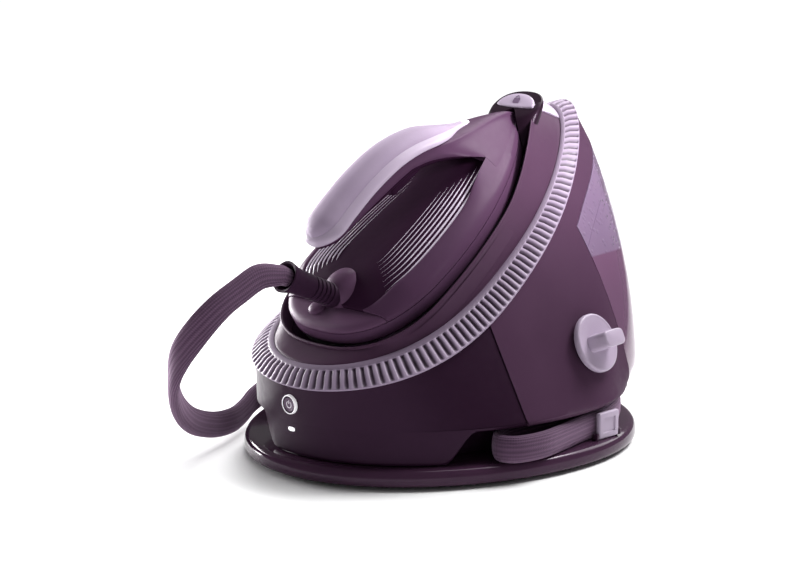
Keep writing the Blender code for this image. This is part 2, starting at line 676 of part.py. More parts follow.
def make_tank():
    """Translucent tank with its lid, and the bulkhead in front of it."""
    def solid(name, extra):
        return loft(name, body_outlines(extra))

    low = BODY_BOTTOM + GAP
    deep = TANK_LID_THICK + GAP
    tank = finish_object("water_tank", solid("water_tank", 0.0), "clear_purple")
    boolean(tank, cutter("tank_shape", bay_prism("tank_shape", low, deep, 0)), "INTERSECT")
    hollow = cutter("tank_hollow", solid("tank_hollow", TANK_WALL))
    inside = bay_prism("tank_inside", low + TANK_WALL, 0, TANK_WALL)
    boolean(hollow, cutter("tank_inside", inside), "INTERSECT")
    boolean(tank, hollow)
    lid = finish_object("tank_lid", solid("tank_lid", 0.0), "soft_lilac")
    boolean(lid, cutter("lid_shape", roof_prism("lid_shape", TANK_LID_THICK, 0, 0)), "INTERSECT")
    lid_hollow = cutter("lid_hollow", solid("lid_hollow", TANK_WALL))
    under = roof_prism("lid_inside", 2 * TANK_LID_THICK, TANK_WALL, TANK_WALL)
    boolean(lid_hollow, cutter("lid_inside", under), "INTERSECT")
    boolean(lid, lid_hollow)

    panel = finish_object("tank_bulkhead", solid("tank_bulkhead", BODY_WALL + 2 * CUT_CLEAR), "satin_plum")
    near = -CUT_CLEAR - GAP
    far = near - BULKHEAD_THICK
    foot = BODY_BOTTOM + BODY_WALL + 1 * MM
    back = TANK_APEX.y + BULKHEAD_REACH
    rise = (back - TANK_BACK) * tan(TANK_ROOF_SLOPE)
    sheet = [(bay_foot(foot, near), foot), bay_front(near, near), (back, roof_back(near) + rise),
             (back, roof_back(far) + rise), bay_front(far, far), (bay_foot(foot, far), foot)]
    boolean(panel, cutter("bulkhead_sheet", prism("bulkhead_sheet", sheet, "X", -TANK_BACK, TANK_BACK)), "INTERSECT")


def make_clip():
    """Hose clip that swings out on a barrel at the plate's rim, between two ears."""
    x = plate_edge_x(CLIP_Y) - CLIP_RIM_MARGIN - CLIP_BARREL
    axis = Vector((x, CLIP_Y, PLATE_TOP + GAP + CLIP_BARREL))
    half = CLIP_THICK / 2
    outline = [(CLIP_BARREL * cos(a), CLIP_BARREL * sin(a)) for a in
               [pi + pi * i / 8 for i in range(9)]]
    top = CLIP_HEIGHT - CLIP_BARREL
    outline += [(CLIP_BARREL, top - 2 * MM), (CLIP_BARREL - 1.5 * MM, top),
                (-CLIP_BARREL + 0.8 * MM, top), (-CLIP_BARREL, top - 1 * MM)]
    mesh = prism("hose_clip", outline, "Y", -CLIP_WIDTH / 2, CLIP_WIDTH / 2)
    finish_object("hose_clip", mesh, "lilac", matrix=Matrix.Translation(axis))
    for i, side in enumerate((-1, 1), 1):
        centre = Vector((0, side * (CLIP_WIDTH / 2 + GAP + half / 2), 1.4 * MM - CLIP_BARREL))
        ear = block(f"clip_ear_{i}", Vector((2.2 * CLIP_BARREL, half, 2.8 * MM + CLIP_BARREL)),
                    centre + Vector((0, 0, CLIP_BARREL / 2)), 0.6 * MM)
        finish_object(f"clip_ear_{i}", ear, "gloss_plum", matrix=Matrix.Translation(axis))


def make_iron():
    """Soleplate, heater, skirt, shell, heel cover and the ribbed top cover."""
    sole = [iron_section(-2.5 * MM, GAP), iron_section(-0.6 * MM, 1.2 * MM), iron_section(0, 2.5 * MM),
            iron_section(-0.4 * MM, SOLE_THICK)]
    finish_object("soleplate", loft("soleplate", sole), "steel", IRON_BODY)
    heater = [iron_section(-16 * MM, SOLE_THICK + GAP), iron_section(-20 * MM, SKIRT_TOP - 0.5 * MM)]
    finish_object("heater_block", loft("heater_block", heater), "steel", IRON_BODY)
    low = SOLE_THICK + GAP
    skirt = [iron_section(-1 * MM, low), iron_section(1 * MM, low + 4 * MM), iron_section(0.5 * MM, SKIRT_TOP),
             iron_section(-4 * MM, SKIRT_TOP), iron_section(-4 * MM, low)]
    finish_object("sole_skirt", loft("sole_skirt", skirt, looped=True), "dark_plum", IRON_BODY)
    for name, finish, top, side in (("iron_shell", "mauve_shell", SHELL_TOP, 1),
                                    ("heel_cover", "satin_mauve", HEEL_TOP, -1)):
        part = finish_object(name, shell_mesh(name, top), finish, IRON_BODY)
        boolean(part, heel_block(name + "_split", side, GAP / 2), "INTERSECT")
        hollow = cutter(name + "_hollow", shell_mesh(name + "_hollow", top - SHELL_WALL, SHELL_WALL, SKIRT_TOP - 4 * MM),
                        parent=IRON_BODY)
        boolean(hollow, heel_block(name + "_inside", side, SHELL_WALL), "INTERSECT")
        boolean(part, hollow)
    cover = []
    for inset, h in ((-18 * MM, SHELL_TOP + GAP), (-18 * MM, SHELL_TOP + 2.5 * MM), (-26 * MM, SHELL_TOP + 5 * MM)):
        cover.append([Vector((p, min(q, 52 * MM), h)) for p, q in clipped_outline(inset)])
    finish_object("top_cover", loft("top_cover", cover), "dark_plum", IRON_BODY)


def clipped_outline(margin):
    """Outline of the dark top cover: the sole's shape, ending short of the heel cover."""
    points = []
    for t in angles(IRON_POINTS):
        front, back = 50 * MM + margin * 0.4, HEEL_SPLIT + 2 * MM - margin * 0.2
        middle = -30 * MM
        reach = (front - middle) if sin(t) > 0 else (middle - back)
        points.append(((SOLE_HALF_WIDTH + margin) * power(cos(t), 2.2), middle + reach * power(sin(t), 2.2)))
    return points


def heel_block(name, side, gap):
    """Block on the nose side or the heel side of the line where the heel cover starts."""
    size = Vector((0.4, 0.4, 0.3))
    centre = Vector((0, HEEL_SPLIT + side * (size.y / 2 + gap), 0))
    return cutter(name, block(name, size, centre), parent=IRON_BODY)


def shell_mesh(name, top, inset=0.0, low=SKIRT_TOP + GAP):
    """Solid of the iron's upper shell, drawn in towards its top."""
    rows = ((0.8 * MM, low), (-0.5 * MM, low + 0.3 * (top - low)), (-5 * MM, low + 0.75 * (top - low)),
            (-13 * MM, top))
    return loft(name, [iron_section(margin - inset, h) for margin, h in rows])


HANDLE_STATIONS = (
    # q, underside, top of core, half width: nose root, pillar, bend, grip, free end
    (112, 36.6, 41, 13), (98, 36.6, 47, 22), (84, 36.6, 52, 29), (66, 37, 60, 31), (48, 42, 68, 29),
    (32, 56, 76, 23.5), (14, 65, 84, 20), (-10, 68, 89, 19.5), (-40, 70, 89.5, 19.5), (-70, 72, 86, 19.5),
    (-90, 75, 82.5, 16), (-98, 77, 80.5, 9))


def handle_sections(lower, upper, widen):
    """Rounded sections along the handle between two heights given by functions of a station."""
    sections = []
    for q, under, top, half in HANDLE_STATIONS:
        low, high = lower(under, top), upper(under, top)
        outline = rounded_outline((half + widen, (high - low) / 2), 3, 20)
        sections.append([Vector((u * MM, q * MM, v * MM + (low + high) / 2 * MM)) for u, v in outline])
    return sections


def make_handle():
    """Core of the open handle, the lilac grip over it and the steam trigger under it."""
    core = finish_object("handle_core", loft("handle_core", handle_sections(lambda a, b: a, lambda a, b: b, 0)),
                         "dark_plum", IRON_BODY)
    grip_rows = []
    for q, under, top, half in HANDLE_STATIONS[2:]:
        crown = 14 if -95 < q < 60 else 8
        outline = rounded_outline((half + GRIP_OVERHANG / MM, crown / 2), 2.6, 20)
        base = top + GAP / MM + crown / 2
        grip_rows.append([Vector((u * MM, q * MM, (v + base) * MM)) for u, v in outline])
    grip = finish_object("handle_grip", loft("handle_grip", grip_rows), "soft_lilac", IRON_BODY)
    boolean(grip, cutter("grip_cut", loft("grip_cut", handle_sections(lambda a, b: a - 4, lambda a, b: b + 0.4, 0.4)),
                         parent=IRON_BODY))
    q, h = TRIGGER_PLACE
    place = Matrix.Translation((0, q, h))
    pocket = block("trigger_pocket", Vector((TRIGGER_SIZE.x + 2 * CUT_CLEAR, TRIGGER_SIZE.y + 2 * CUT_CLEAR,
                                             TRIGGER_SIZE.z + 4 * TRIGGER_TRAVEL)),
                   Vector((0, 0, -TRIGGER_TRAVEL)))
    boolean(core, cutter("trigger_pocket", pocket, place, IRON_BODY))
    trigger = block("steam_trigger", TRIGGER_SIZE, Vector((0, 0, -1.2 * MM)), 2.5 * MM)
    finish_object("steam_trigger", trigger, "lilac", IRON_BODY, matrix=place)


def make_hose_parts():
    """Knuckle and ribbed boot on the heel, the hose itself, and the glands in the neck."""
    along = (BOOT_END - BOOT_START).normalized()
    length = (BOOT_END - BOOT_START).length
    bore = BOOT_BORE
    pitch = 4.5 * MM
    profile = [(bore, 0), (BOOT_RADIUS, 0)]
    for i in range(BOOT_GROOVES):
        z = 8 * MM + i * pitch
        profile += [(BOOT_RADIUS, z), (BOOT_RADIUS - 1.2 * MM, z + 0.6 * MM), (BOOT_RADIUS - 1.2 * MM, z + 1.6 * MM),
                    (BOOT_RADIUS, z + 2.2 * MM)]
    profile += [(BOOT_RADIUS + 0.6 * MM, length - 14 * MM), (BOOT_MOUTH_RADIUS, length), (bore + 2.5 * MM, length),
                (bore, length - 9 * MM)]
    finish_object("hose_boot", turned("hose_boot", profile, 24), "satin_plum", matrix=facing(along, BOOT_START))
    knuckle = finish_object("hose_knuckle", cylinder("hose_knuckle", KNUCKLE_RADIUS, -22 * MM, -GAP,
                                                     BOOT_RADIUS + 1 * MM, 32),
                            "satin_mauve", matrix=facing(along, BOOT_START))
    for label, top in (("shell_trim", SHELL_TOP), ("heel_trim", HEEL_TOP)):
        grown = cutter(label, shell_mesh(label, top + GAP, -GAP, -30 * MM), parent=IRON_BODY)
        if label == "shell_trim":
            boolean(grown, heel_block("shell_trim_side", 1, -GAP), "INTERSECT")
        boolean(knuckle, grown)
    lens = cylinder("heel_lamp", 4.5 * MM, -0.6 * MM, 1.8 * MM, 3 * MM, 24)
    place = Matrix.Translation((24 * MM, -112 * MM, HEEL_TOP + GAP + 0.6 * MM))
    finish_object("heel_lamp", lens, "lamp", IRON_BODY, matrix=place)

    before, end = hose_route()[-2:]
    onward = (end - before).normalized()
    turn = Matrix.Rotation(atan2(onward.y, onward.x) - pi / 2, 4, "Z")
    middle = end + onward * (INLET_SIZE.y / 2 + GAP)
    middle.z = PLATE_TOP + GAP + INLET_SIZE.z / 2
    inlet = block("hose_inlet", INLET_SIZE, Vector(), 3 * MM)
    finish_object("hose_inlet", inlet, "gloss_plum", matrix=Matrix.Translation(middle) @ turn)
    make_hose()


def smooth_route(points):
    """Points at a steady step along a smooth curve through the route."""
    dense = []
    ends = [points[0] * 2 - points[1]] + points + [points[-1] * 2 - points[-2]]
    for a, b, c, d in zip(ends, ends[1:], ends[2:], ends[3:]):
        for i in range(12):
            s = i / 12
            dense.append(0.5 * (2 * b + (c - a) * s + (2 * a - 5 * b + 4 * c - d) * s ** 2
                                + (3 * b - a - 3 * c + d) * s ** 3))
    dense.append(points[-1])
    total = sum((b - a).length for a, b in zip(dense, dense[1:]))
    count = max(8, round(total / HOSE_STEP))
    picked, run, target = [dense[0]], 0.0, total / count
    for a, b in zip(dense, dense[1:]):
        run += (b - a).length
        while run >= target * len(picked) and len(picked) < count:
            picked.append(b.copy())
    return picked + [dense[-1]]


def make_hose():
    points = smooth_route(hose_route())
    oval = bpy.data.curves.new("hose_oval", "CURVE")
    ring = oval.splines.new("POLY")
    ring.points.add(HOSE_SIDES - 1)
    for node, (u, v) in zip(ring.points, rounded_outline(HOSE_HALF, 2.4, HOSE_SIDES)[::-1]):
        node.co = (u, v, 0, 1)
    ring.use_cyclic_u = True
    guide = bpy.data.objects.new("hose_oval", oval)
    CUTTERS.objects.link(guide)
    guide.hide_render = True
    guide.display_type = "WIRE"
    curve = bpy.data.curves.new("steam_hose", "CURVE")
    curve.dimensions = "3D"
    curve.twist_mode = "Z_UP"
    curve.bevel_mode = "OBJECT"
    curve.bevel_object = guide
    curve.use_fill_caps = True
    spline = curve.splines.new("POLY")
    spline.points.add(len(points) - 1)
    for node, point in zip(spline.points, points):
        node.co = (*point, 1)
    curve.materials.append(material("hose_cloth", *FINISHES["hose_cloth"]))
    hose = bpy.data.objects.new("steam_hose", curve)
    PARTS.objects.link(hose)


def make_inside():
    """Boiler, pump, feed and steam tubes, steam valve and control board on the base plate."""
    floor = PLATE_TOP + GAP
    spot = Vector((BOILER_PLACE.x, BOILER_PLACE.y, floor))
    finish_object("boiler", cylinder("boiler", BOILER_RADIUS, 0, BOILER_HEIGHT, BOILER_RADIUS - 4 * MM, 40),
                  "steel", matrix=Matrix.Translation(spot))
    valve_top = BOILER_HEIGHT + GAP + 22 * MM
    finish_object("steam_valve", cylinder("steam_valve", 11 * MM, BOILER_HEIGHT + GAP, valve_top, 9 * MM, 24),
                  "brass", matrix=Matrix.Translation(spot + Vector((-22 * MM, 14 * MM, 0))))
    pump = cylinder("pump", PUMP_RADIUS, 0, PUMP_LENGTH, sides=24)
    turn = Matrix.Translation((PUMP_PLACE.x, PUMP_PLACE.y, floor + PUMP_RADIUS)) @ Matrix.Rotation(pi / 2, 4, "Y")
    finish_object("pump", pump, "black", matrix=turn)
    board = block("control_board", BOARD_SIZE, Vector((0, BOARD_Y, floor + BOARD_SIZE.z / 2)))
    finish_object("control_board", board, "board")


for existing in list(bpy.data.objects):
    bpy.data.objects.remove(existing, do_unlink=True)
PARTS = new_collection(OBJECT_NAME)
CUTTERS = new_collection("cutters")
IRON_DOCK = frame_empty("dock_frame", IRON_CENTRE, IRON_TILT)
IRON_BODY = frame_empty("iron_frame", IRON_CENTRE, IRON_TILT)
make_base()
make_body()
make_ring()
make_dock()
make_lock()
make_controls()
make_tank()
make_clip()
make_iron()
make_handle()
make_hose_parts()
make_inside()
bpy.context.view_layer.update()
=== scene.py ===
import bpy
from math import cos, pi, radians, sin, tan
from mathutils import Matrix, Vector


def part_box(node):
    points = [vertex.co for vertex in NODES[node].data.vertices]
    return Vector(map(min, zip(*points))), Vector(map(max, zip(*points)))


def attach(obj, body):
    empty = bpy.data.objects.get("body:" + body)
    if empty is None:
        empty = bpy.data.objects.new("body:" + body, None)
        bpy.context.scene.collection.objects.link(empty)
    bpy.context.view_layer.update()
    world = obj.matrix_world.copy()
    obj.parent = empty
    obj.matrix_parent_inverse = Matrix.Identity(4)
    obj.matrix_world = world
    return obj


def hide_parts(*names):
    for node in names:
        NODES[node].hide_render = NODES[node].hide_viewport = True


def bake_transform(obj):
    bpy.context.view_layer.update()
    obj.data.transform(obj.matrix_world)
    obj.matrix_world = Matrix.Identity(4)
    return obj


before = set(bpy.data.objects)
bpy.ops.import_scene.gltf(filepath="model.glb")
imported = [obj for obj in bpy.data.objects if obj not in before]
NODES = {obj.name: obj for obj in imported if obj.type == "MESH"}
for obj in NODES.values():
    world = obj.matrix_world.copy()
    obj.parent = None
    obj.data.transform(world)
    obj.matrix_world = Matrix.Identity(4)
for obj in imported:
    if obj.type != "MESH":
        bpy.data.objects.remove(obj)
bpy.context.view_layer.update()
MM = 0.001
POINTS = 240  # round each long section

# Sizes of the base, as in the part's source
PLATE_WIDTH, PLATE_DEPTH, PLATE_FLARE = 149 * MM, 170 * MM, 0.12
PLATE_TOP, NECK_TOP, BODY_LOW = 16 * MM, 38.2 * MM, 41.5 * MM
NECK_INSET, NECK_FRONT_GAIN = 46 * MM, 20 * MM
BODY_INSET, BODY_FRONT_INSET, BODY_SWELL, BODY_WALL = 8 * MM, 4 * MM, 9 * MM, 3 * MM
# From the photograph: how far the front apron comes down, and how full the rear wall and its corners are
APRON_DROP, REAR_SWELL, CORNER_SWELL = 25 * MM, 9 * MM, 9.5 * MM
APRON_LEFT, APRON_RIGHT = -111, -26  # degrees round the plate
# Rows of the flank, as shares of the way from its foot up to the ring
WALL_SHARES = (0.03, 0.06, 0.1, 0.14, 0.2, 0.28, 0.36, 0.46, 0.57, 0.68, 0.79, 0.9, 1.0)
SPLIT_PLACE, SPLIT_LEAN, SEAM_GAP = Vector((0, -33 * MM, BODY_LOW)), radians(6), 0.4 * MM
RING_CENTRE, RING_TILT = Vector((0, 12.4 * MM, 145 * MM)), radians(30)
RING_LENGTH, RING_WIDTH, RING_TAPER = 187 * MM, 91 * MM, 0.44
RING_CURL, RING_TWIST = 27.7 * MM, 5.2 * MM
RING_EDGE, RING_RISE = 18.9 * MM, 13.3 * MM
FLUTES, FLUTE_DEPTH = 132, 2.2 * MM
FLUTE_IN, FLUTE_DOWN = 0.634, 0.773  # direction in which a flute is sunk, square to the band's slope
FLUTE_WAVE = (0.0, 0.0, 0.0, 0.1, 0.55, 0.95, 1.0, 0.95, 0.55, 0.1)  # depth across one rib and its gap

# Sizes of the iron, in its own frame on the dock
IRON = Matrix.Translation((0, -6 * MM, 165 * MM)) @ Matrix.Rotation(radians(33), 4, "X")
SOLE_WIDTH, SOLE_NOSE, SOLE_HEEL = 70 * MM, 136 * MM, -132 * MM
SOLE_WIDEST, SOLE_POINT = -55 * MM, 1.7  # place of the full width, and how sharp the nose is
HEEL_SPLIT, HEEL_GAP, HEEL_TOP = -109 * MM, 0.2 * MM, 24 * MM
COVER_INSET, RIBS = 15 * MM, 8
# mm along the iron: start of the recess under the handle, of its pad, and of its round rear end
RECESS_FRONT, PAD_START, END_START, END_RUN = 63, 84, -80, 17.5
SHOULDER, HANDLE_BEND = 5, 2.5  # mm from the handle's top to its flank, and how square its sections are
LIP_GAIN, LIP_CLIMB = 6 * MM, 15 * MM

# Tank bay: leaning front and sloping roof behind an apex
BAY_APEX, BAY_FOOT_Y = Vector((0, 87 * MM, 176 * MM)), 112 * MM
BAY_LEAN = (BAY_FOOT_Y - BAY_APEX.y) / (BAY_APEX.z - BODY_LOW)
BAY_SLOPE, BAY_BACK = radians(40), 260 * MM
LID_THICK, TANK_WALL, WATER_LINE = 15 * MM, 2.5 * MM, 151 * MM
# Descaling knob on the side panel
KNOB_AXIS, KNOB_PLACE = Vector((0.91803, 0.06841, 0.39056)), Vector((0.12042, 0.056, 0.089))

# Boot on the heel, and the flat hose's half thickness and half width
BOOT_START, BOOT_END = Vector((0, -115.6 * MM, 139 * MM)), Vector((0, -163 * MM, 158 * MM))
BOOT_ROOT = Vector((0, -112.5 * MM, 135 * MM))
HOSE_HALF = (4.5 * MM, 10.5 * MM)
HOSE_CORDS, HOSE_SIDES = 22, 72  # cords of the sleeve and points round it
LANE = 26.9  # mm, middle of the hose where it lies between plate and body
# Hose route from the boot's mouth: angle round the plate, distance inside its edge in mm, height in mm
HOSE_ROUTE = [
    (-90, -18, 161), (-90.5, -36, 153), (-91.5, -54, 142), (-94, -68.5, 124.5), (-98, -76, 103.5),
    (-102.5, -74.5, 81), (-109, -63.5, 56), (-117, -47, 35), (-127, -27.5, 21), (-136, -14, 16.5),
    (-145, -10, 17), (-152, -8, 22)]
HOSE_ROUTE += [(angle, inset, LANE) for angle, inset in (
    (-160, -2), (-168, 13), (-177, 30), (172, 37.5), (150, 38.5), (130, 38.5), (110, 38.5), (90, 38.5), (70, 38.5),
    (50, 38.5), (30, 38.5), (8, 39.5), (-3, 39), (-13, 33.5), (-18, 21.5), (-19, 9), (-15.5, 1), (-8, 2.5), (0, 9.5),
    (10, 15.5), (20, 17), (40, 16), (60, 15.5), (80, 15), (100, 15), (120, 15.5), (140, 15.5), (154, 14.5), (163, 12),
    (168, 12), (171, 20), (167, 27), (160, 27), (140, 27), (120, 27), (100, 27), (80, 27), (60, 27), (54.5, 27),
    (51, 27))]

# Camera fitted to the photograph: turned to the right of the front, and above the floor
PHOTO_WIDTH, FOCAL_LENGTH, SENSOR_WIDTH = 786, 1958.48, 36  # px, px, mm
VIEW_TURN, VIEW_RISE, VIEW_DISTANCE = radians(46), radians(11.97), 1.6097
AIM_SIDE, AIM_HEIGHT = -0.0345, 0.1208
# Soft lights: name, place, aim, size, watts, spread in degrees
SOFTBOXES = (
    ("left_softbox", (-1.6, -0.2, 0.25), (0, 0, 0.12), 0.9, 70, 180),
    ("right_softbox", (0.5, 1.0, 1.6), (0, 0.1, 0.2), 0.6, 22, 180),
    ("nose_softbox", (0.46, 0.1, 0.42), (0.01, 0.08, 0.24), 0.12, 0.21, 36))
WORLD_LIGHT, OVERHEAD_LIGHT, OVERHEAD_ANGLE, OVERHEAD_FROM = 0.21, 3.6, radians(60), Vector((-0.1, 0.75, 1))


def linear(hexcode):
    """sRGB hex to a linear colour."""
    parts = [int(hexcode[i:i + 2], 16) / 255 for i in (0, 2, 4)]
    return tuple(c / 12.92 if c <= 0.04045 else ((c + 0.055) / 1.055) ** 2.4 for c in parts) + (1.0,)


def feed(tree, node, feeds=None, sockets=None):
    """Set a node's socket values, and link its inputs from (node, output) pairs."""
    for key, value in (sockets or {}).items():
        node.inputs[key].default_value = value
    for key, (source, output) in (feeds or {}).items():
        tree.links.new(source.outputs[output], node.inputs[key])


def add(tree, kind, feeds=None, sockets=None, **settings):
    """Add a node with its settings, socket values and links."""
    made = tree.nodes.new(kind)
    for key, value in settings.items():
        setattr(made, key, value)
    feed(tree, made, feeds, sockets)
    return made


def blank(name):
    """New material with its node tree and shader."""
    made = bpy.data.materials.new(name)
    made.use_nodes = True
    return made, made.node_tree, made.node_tree.nodes["Principled BSDF"]


def moulded(name, colour, shade, rough, grain, height, coat=0.0, coat_rough=0.05, **extra):
    """Injection-moulded plastic: a grain of a given size (mm) and height (mm), cloudy tint, uneven gloss."""
    made, tree, shader = blank(name)
    place = add(tree, "ShaderNodeTexCoord")
    cloud, speck, pits = (
        add(tree, "ShaderNodeTexNoise", {"Vector": (place, "Object")}, {"Scale": 1 / (size * MM), "Detail": detail})
        for size, detail in ((45, 3.0), (6, 2.0), (grain, 1.5)))
    tint = add(tree, "ShaderNodeMix", {"Factor": (cloud, "Fac")}, {"A": linear(shade), "B": linear(colour)},
               data_type="RGBA")
    gloss = add(tree, "ShaderNodeMapRange", {"Value": (speck, "Fac")},
                {"From Min": 0.3, "From Max": 0.7, "To Min": rough * 0.88, "To Max": rough * 1.12})
    relief = add(tree, "ShaderNodeBump", {"Height": (pits, "Fac")}, {"Distance": height * MM, "Strength": 1.0})
    feed(tree, shader, {"Base Color": (tint, "Result"), "Roughness": (gloss, "Result"), "Normal": (relief, "Normal")},
         {"Coat Weight": coat, "Coat Roughness": coat_rough, "Specular IOR Level": 0.16,
          **{key.replace("_", " "): value for key, value in extra.items()}})
    return made


# Plum pigment at the surface tints what the dark skins reflect.
SKIN_TINT = linear("CFA6CF")
# Gloss ABS from a polished mould: mirror-like skin with a slight orange peel, as on the plate the base stands on.
GLOSS_PLUM = moulded("gloss_abs_plum", "40283C", "382236", 0.14, 9, 0.004, 0.22, 0.04,
                     Specular_Tint=SKIN_TINT)
# Satin ABS: spark-eroded mould grain, which blurs highlights to a soft haze. Here and in the other grained
# plastics the grain of about 0.4 mm is drawn at 0.8 to 0.9 mm so that it shows.
SATIN_PLUM = moulded("satin_abs_plum", "281526", "221020", 0.38, 0.9, 0.002, 0.0, 0.25,
                     Specular_IOR_Level=0.2, Specular_Tint=SKIN_TINT)
# The same grain in the paler ABS of the side panels, rougher and nearly matt.
SATIN_MAUVE = moulded("satin_abs_mauve", "483145", "412A3E", 0.5, 0.9, 0.002, 0.0, 0.25,
                      Specular_IOR_Level=0.03)
# Pearl ABS of the iron: fine grain under a thin sheen.
PEARL_MAUVE = moulded("pearl_abs_mauve", "4D344B", "462E45", 0.42, 0.8, 0.003, 0.03, 0.2,
                      Specular_IOR_Level=0.08, Specular_Tint=SKIN_TINT)
# ABS of the dock's collar: as the iron's but a shade darker and without the sheen.
COLLAR_MAUVE = moulded("collar_abs_mauve", "463043", "3F293C", 0.42, 0.9, 0.003, 0.0, 0.2,
                       Specular_IOR_Level=0.1, Specular_Tint=SKIN_TINT)
# Dark ABS of the cover: deep matt grain that stays dark between the pale ribs.
DARK_COVER = moulded("dark_cover_abs", "2E182C", "281226", 0.65, 0.8, 0.002, 0.0, 0.2,
                     Specular_IOR_Level=0.02)
# Lilac ABS: pale pigment with a soft, broad highlight.
LILAC = moulded("lilac_abs", "B1A2B6", "A797AD", 0.4, 0.8, 0.007, 0.2, 0.2)
# Pale gloss ABS round the pad: smoother mould, so only a slow ripple of about 2 mm.
PALE_RIM = moulded("pale_lilac_gloss_abs", "B3A4B8", "A998AF", 0.36, 2.0, 0.004, 0.12, 0.2)
# Soft-touch elastomer: matt with a pebbled grain of about 1 mm, and a faint bloom at its edges.
SOFT_PAD = moulded("soft_touch_lilac_elastomer", "A190A6", "95839C", 0.62, 1.3, 0.1, 0.0, 0.3, Sheen_Weight=0.1)
# Satin lacquer on the ribs: hard and smooth, so each rib has a thin bright line along its crest.
RIB_EDGE = moulded("rib_satin_lilac_lacquer", "CFC3D3", "C4B6C9", 0.25, 1.0, 0.004, 0.6, 0.08)
# Black ABS of the hood: nearly black with a plum cast and a trace of gloss.
HOOD_BLACK = moulded("hood_black_abs", "22131F", "1C0E1A", 0.34, 0.9, 0.003, 0.06, 0.15,
                     Specular_Tint=SKIN_TINT)
# Thermoplastic rubber of the boot: dull, with a dim soft highlight on each groove's edge.
BOOT_RUBBER = moulded("boot_thermoplastic_rubber", "2F1C2E", "281627", 0.5, 1.0, 0.008, Specular_Tint=SKIN_TINT)
# Cured rubber of the feet: black, rough and matt.
FOOT_RUBBER = moulded("foot_rubber", "1D1B1D", "161416", 0.8, 0.8, 0.02)
# Moulded silicone of the sole's rests: matt and slightly waxy.
SILICONE = moulded("rest_silicone", "4A3A4C", "413243", 0.65, 1.0, 0.01)
# Anodised aluminium: a pale metal whose reflections are blurred by the etched surface.
SOLE_METAL = moulded("anodised_sole_aluminium", "BDBDC3", "AEAEB6", 0.3, 1.5, 0.003, Metallic=1.0)
# Machined brass: yellow metal, with the cutter's marks left as a faint ripple.
BRASS = moulded("machined_brass", "B0905C", "A48350", 0.35, 1.2, 0.004, Metallic=1.0)
# Solder mask on a circuit board: green lacquer, uneven over the copper under it.
BOARD = moulded("solder_mask_board", "2F5D3A", "274F31", 0.45, 2.5, 0.01)
# Milky polycarbonate of the light ring: white, with a weak even glow.
BEZEL_WHITE = moulded("light_ring_polycarbonate", "F6F2F8", "EEE8F2", 0.3, 1.0, 0.003, Emission_Strength=0.35,
                      Emission_Color=linear("FFFFFF"))
# Polycarbonate lamp lens: smoother, and lit more strongly from behind.
LAMP = moulded("lamp_lens_polycarbonate", "FBF8FF", "F2ECFA", 0.2, 1.0, 0.002, Emission_Strength=0.8,
               Emission_Color=linear("FFFFFF"))
# Grey ABS of the power button: plain satin grain.
BUTTON_GREY = moulded("button_abs_mauve_grey", "6E5C70", "655367", 0.45, 0.8, 0.003)
# Printed and engraved marks: a flat film of ink, a little duller than the plastic round it.
MARK_WHITE = moulded("white_pad_print", "F2EDF4", "E8E0EC", 0.5, 0.6, 0.003)
MARK_GREY = moulded("engraved_grey_print", "6E5A74", "645069", 0.5, 0.6, 0.003)
# ABS of the heel: a lighter batch of the iron's plastic, with a little more gloss.
HEEL_MAUVE = moulded("heel_abs_mauve", "583E56", "50374E", 0.42, 0.9, 0.003, 0.02, 0.2,
                     Specular_IOR_Level=0.12, Specular_Tint=SKIN_TINT)


def flute_finish():
    """Lilac ABS with painted shade in its grooves: the attribute groove is 0 on the ribs and 1 in the gaps, where it
    darkens the colour towards plum.
    """
    made = moulded("fluted_lilac_abs", "9A8A9F", "917F97", 0.42, 0.8, 0.006, 0.08, 0.2)
    tree = made.node_tree
    shader = tree.nodes["Principled BSDF"]
    tint = shader.inputs["Base Color"].links[0].from_node
    depth = add(tree, "ShaderNodeAttribute", attribute_name="groove")
    # Painted shade: the colour goes towards dark plum as the groove attribute rises into the gaps.
    dark = add(tree, "ShaderNodeMix", {"Factor": (depth, "Fac"), "A": (tint, "Result")}, {"B": linear("2B1829")},
               data_type="RGBA")
    feed(tree, shader, {"Base Color": (dark, "Result")})
    return made


def tank_finish():
    """Tinted polycarbonate: pale and beaded with drops about 5 mm apart above the water line, plum below it."""
    made = moulded("tinted_tank_polycarbonate", "836C89", "866F8D", 0.12, 3.0, 0.01, 0.6, 0.05)
    tree = made.node_tree
    shader = tree.nodes["Principled BSDF"]
    tint = shader.inputs["Base Color"].links[0].from_node
    place = add(tree, "ShaderNodeTexCoord")
    axes = add(tree, "ShaderNodeSeparateXYZ", {"Vector": (place, "Object")})
    level = add(tree, "ShaderNodeMapRange", {"Value": (axes, "Z")},
                {"From Min": WATER_LINE, "From Max": WATER_LINE + 1.5 * MM, "To Min": 0.0, "To Max": 1.0})
    water = add(tree, "ShaderNodeMix", {"Factor": (level, "Result"), "B": (tint, "Result")}, {"A": linear("74506F")},
                data_type="RGBA")
    drops = add(tree, "ShaderNodeTexVoronoi", {"Vector": (place, "Object")}, {"Scale": 1 / (5 * MM)})
    bead = add(tree, "ShaderNodeMapRange", {"Value": (drops, "Distance")},
               {"From Min": 0.15, "From Max": 0.4, "To Min": 1.0, "To Max": 0.0})
    wet = add(tree, "ShaderNodeMath", {0: (bead, "Result"), 1: (level, "Result")}, operation="MULTIPLY")
    relief = add(tree, "ShaderNodeBump", {"Height": (wet, "Value")}, {"Distance": 0.5 * MM, "Strength": 0.8})
    feed(tree, shader, {"Base Color": (water, "Result"), "Normal": (relief, "Normal")},
         {"Transmission Weight": 0.35, "IOR": 1.5})
    return made


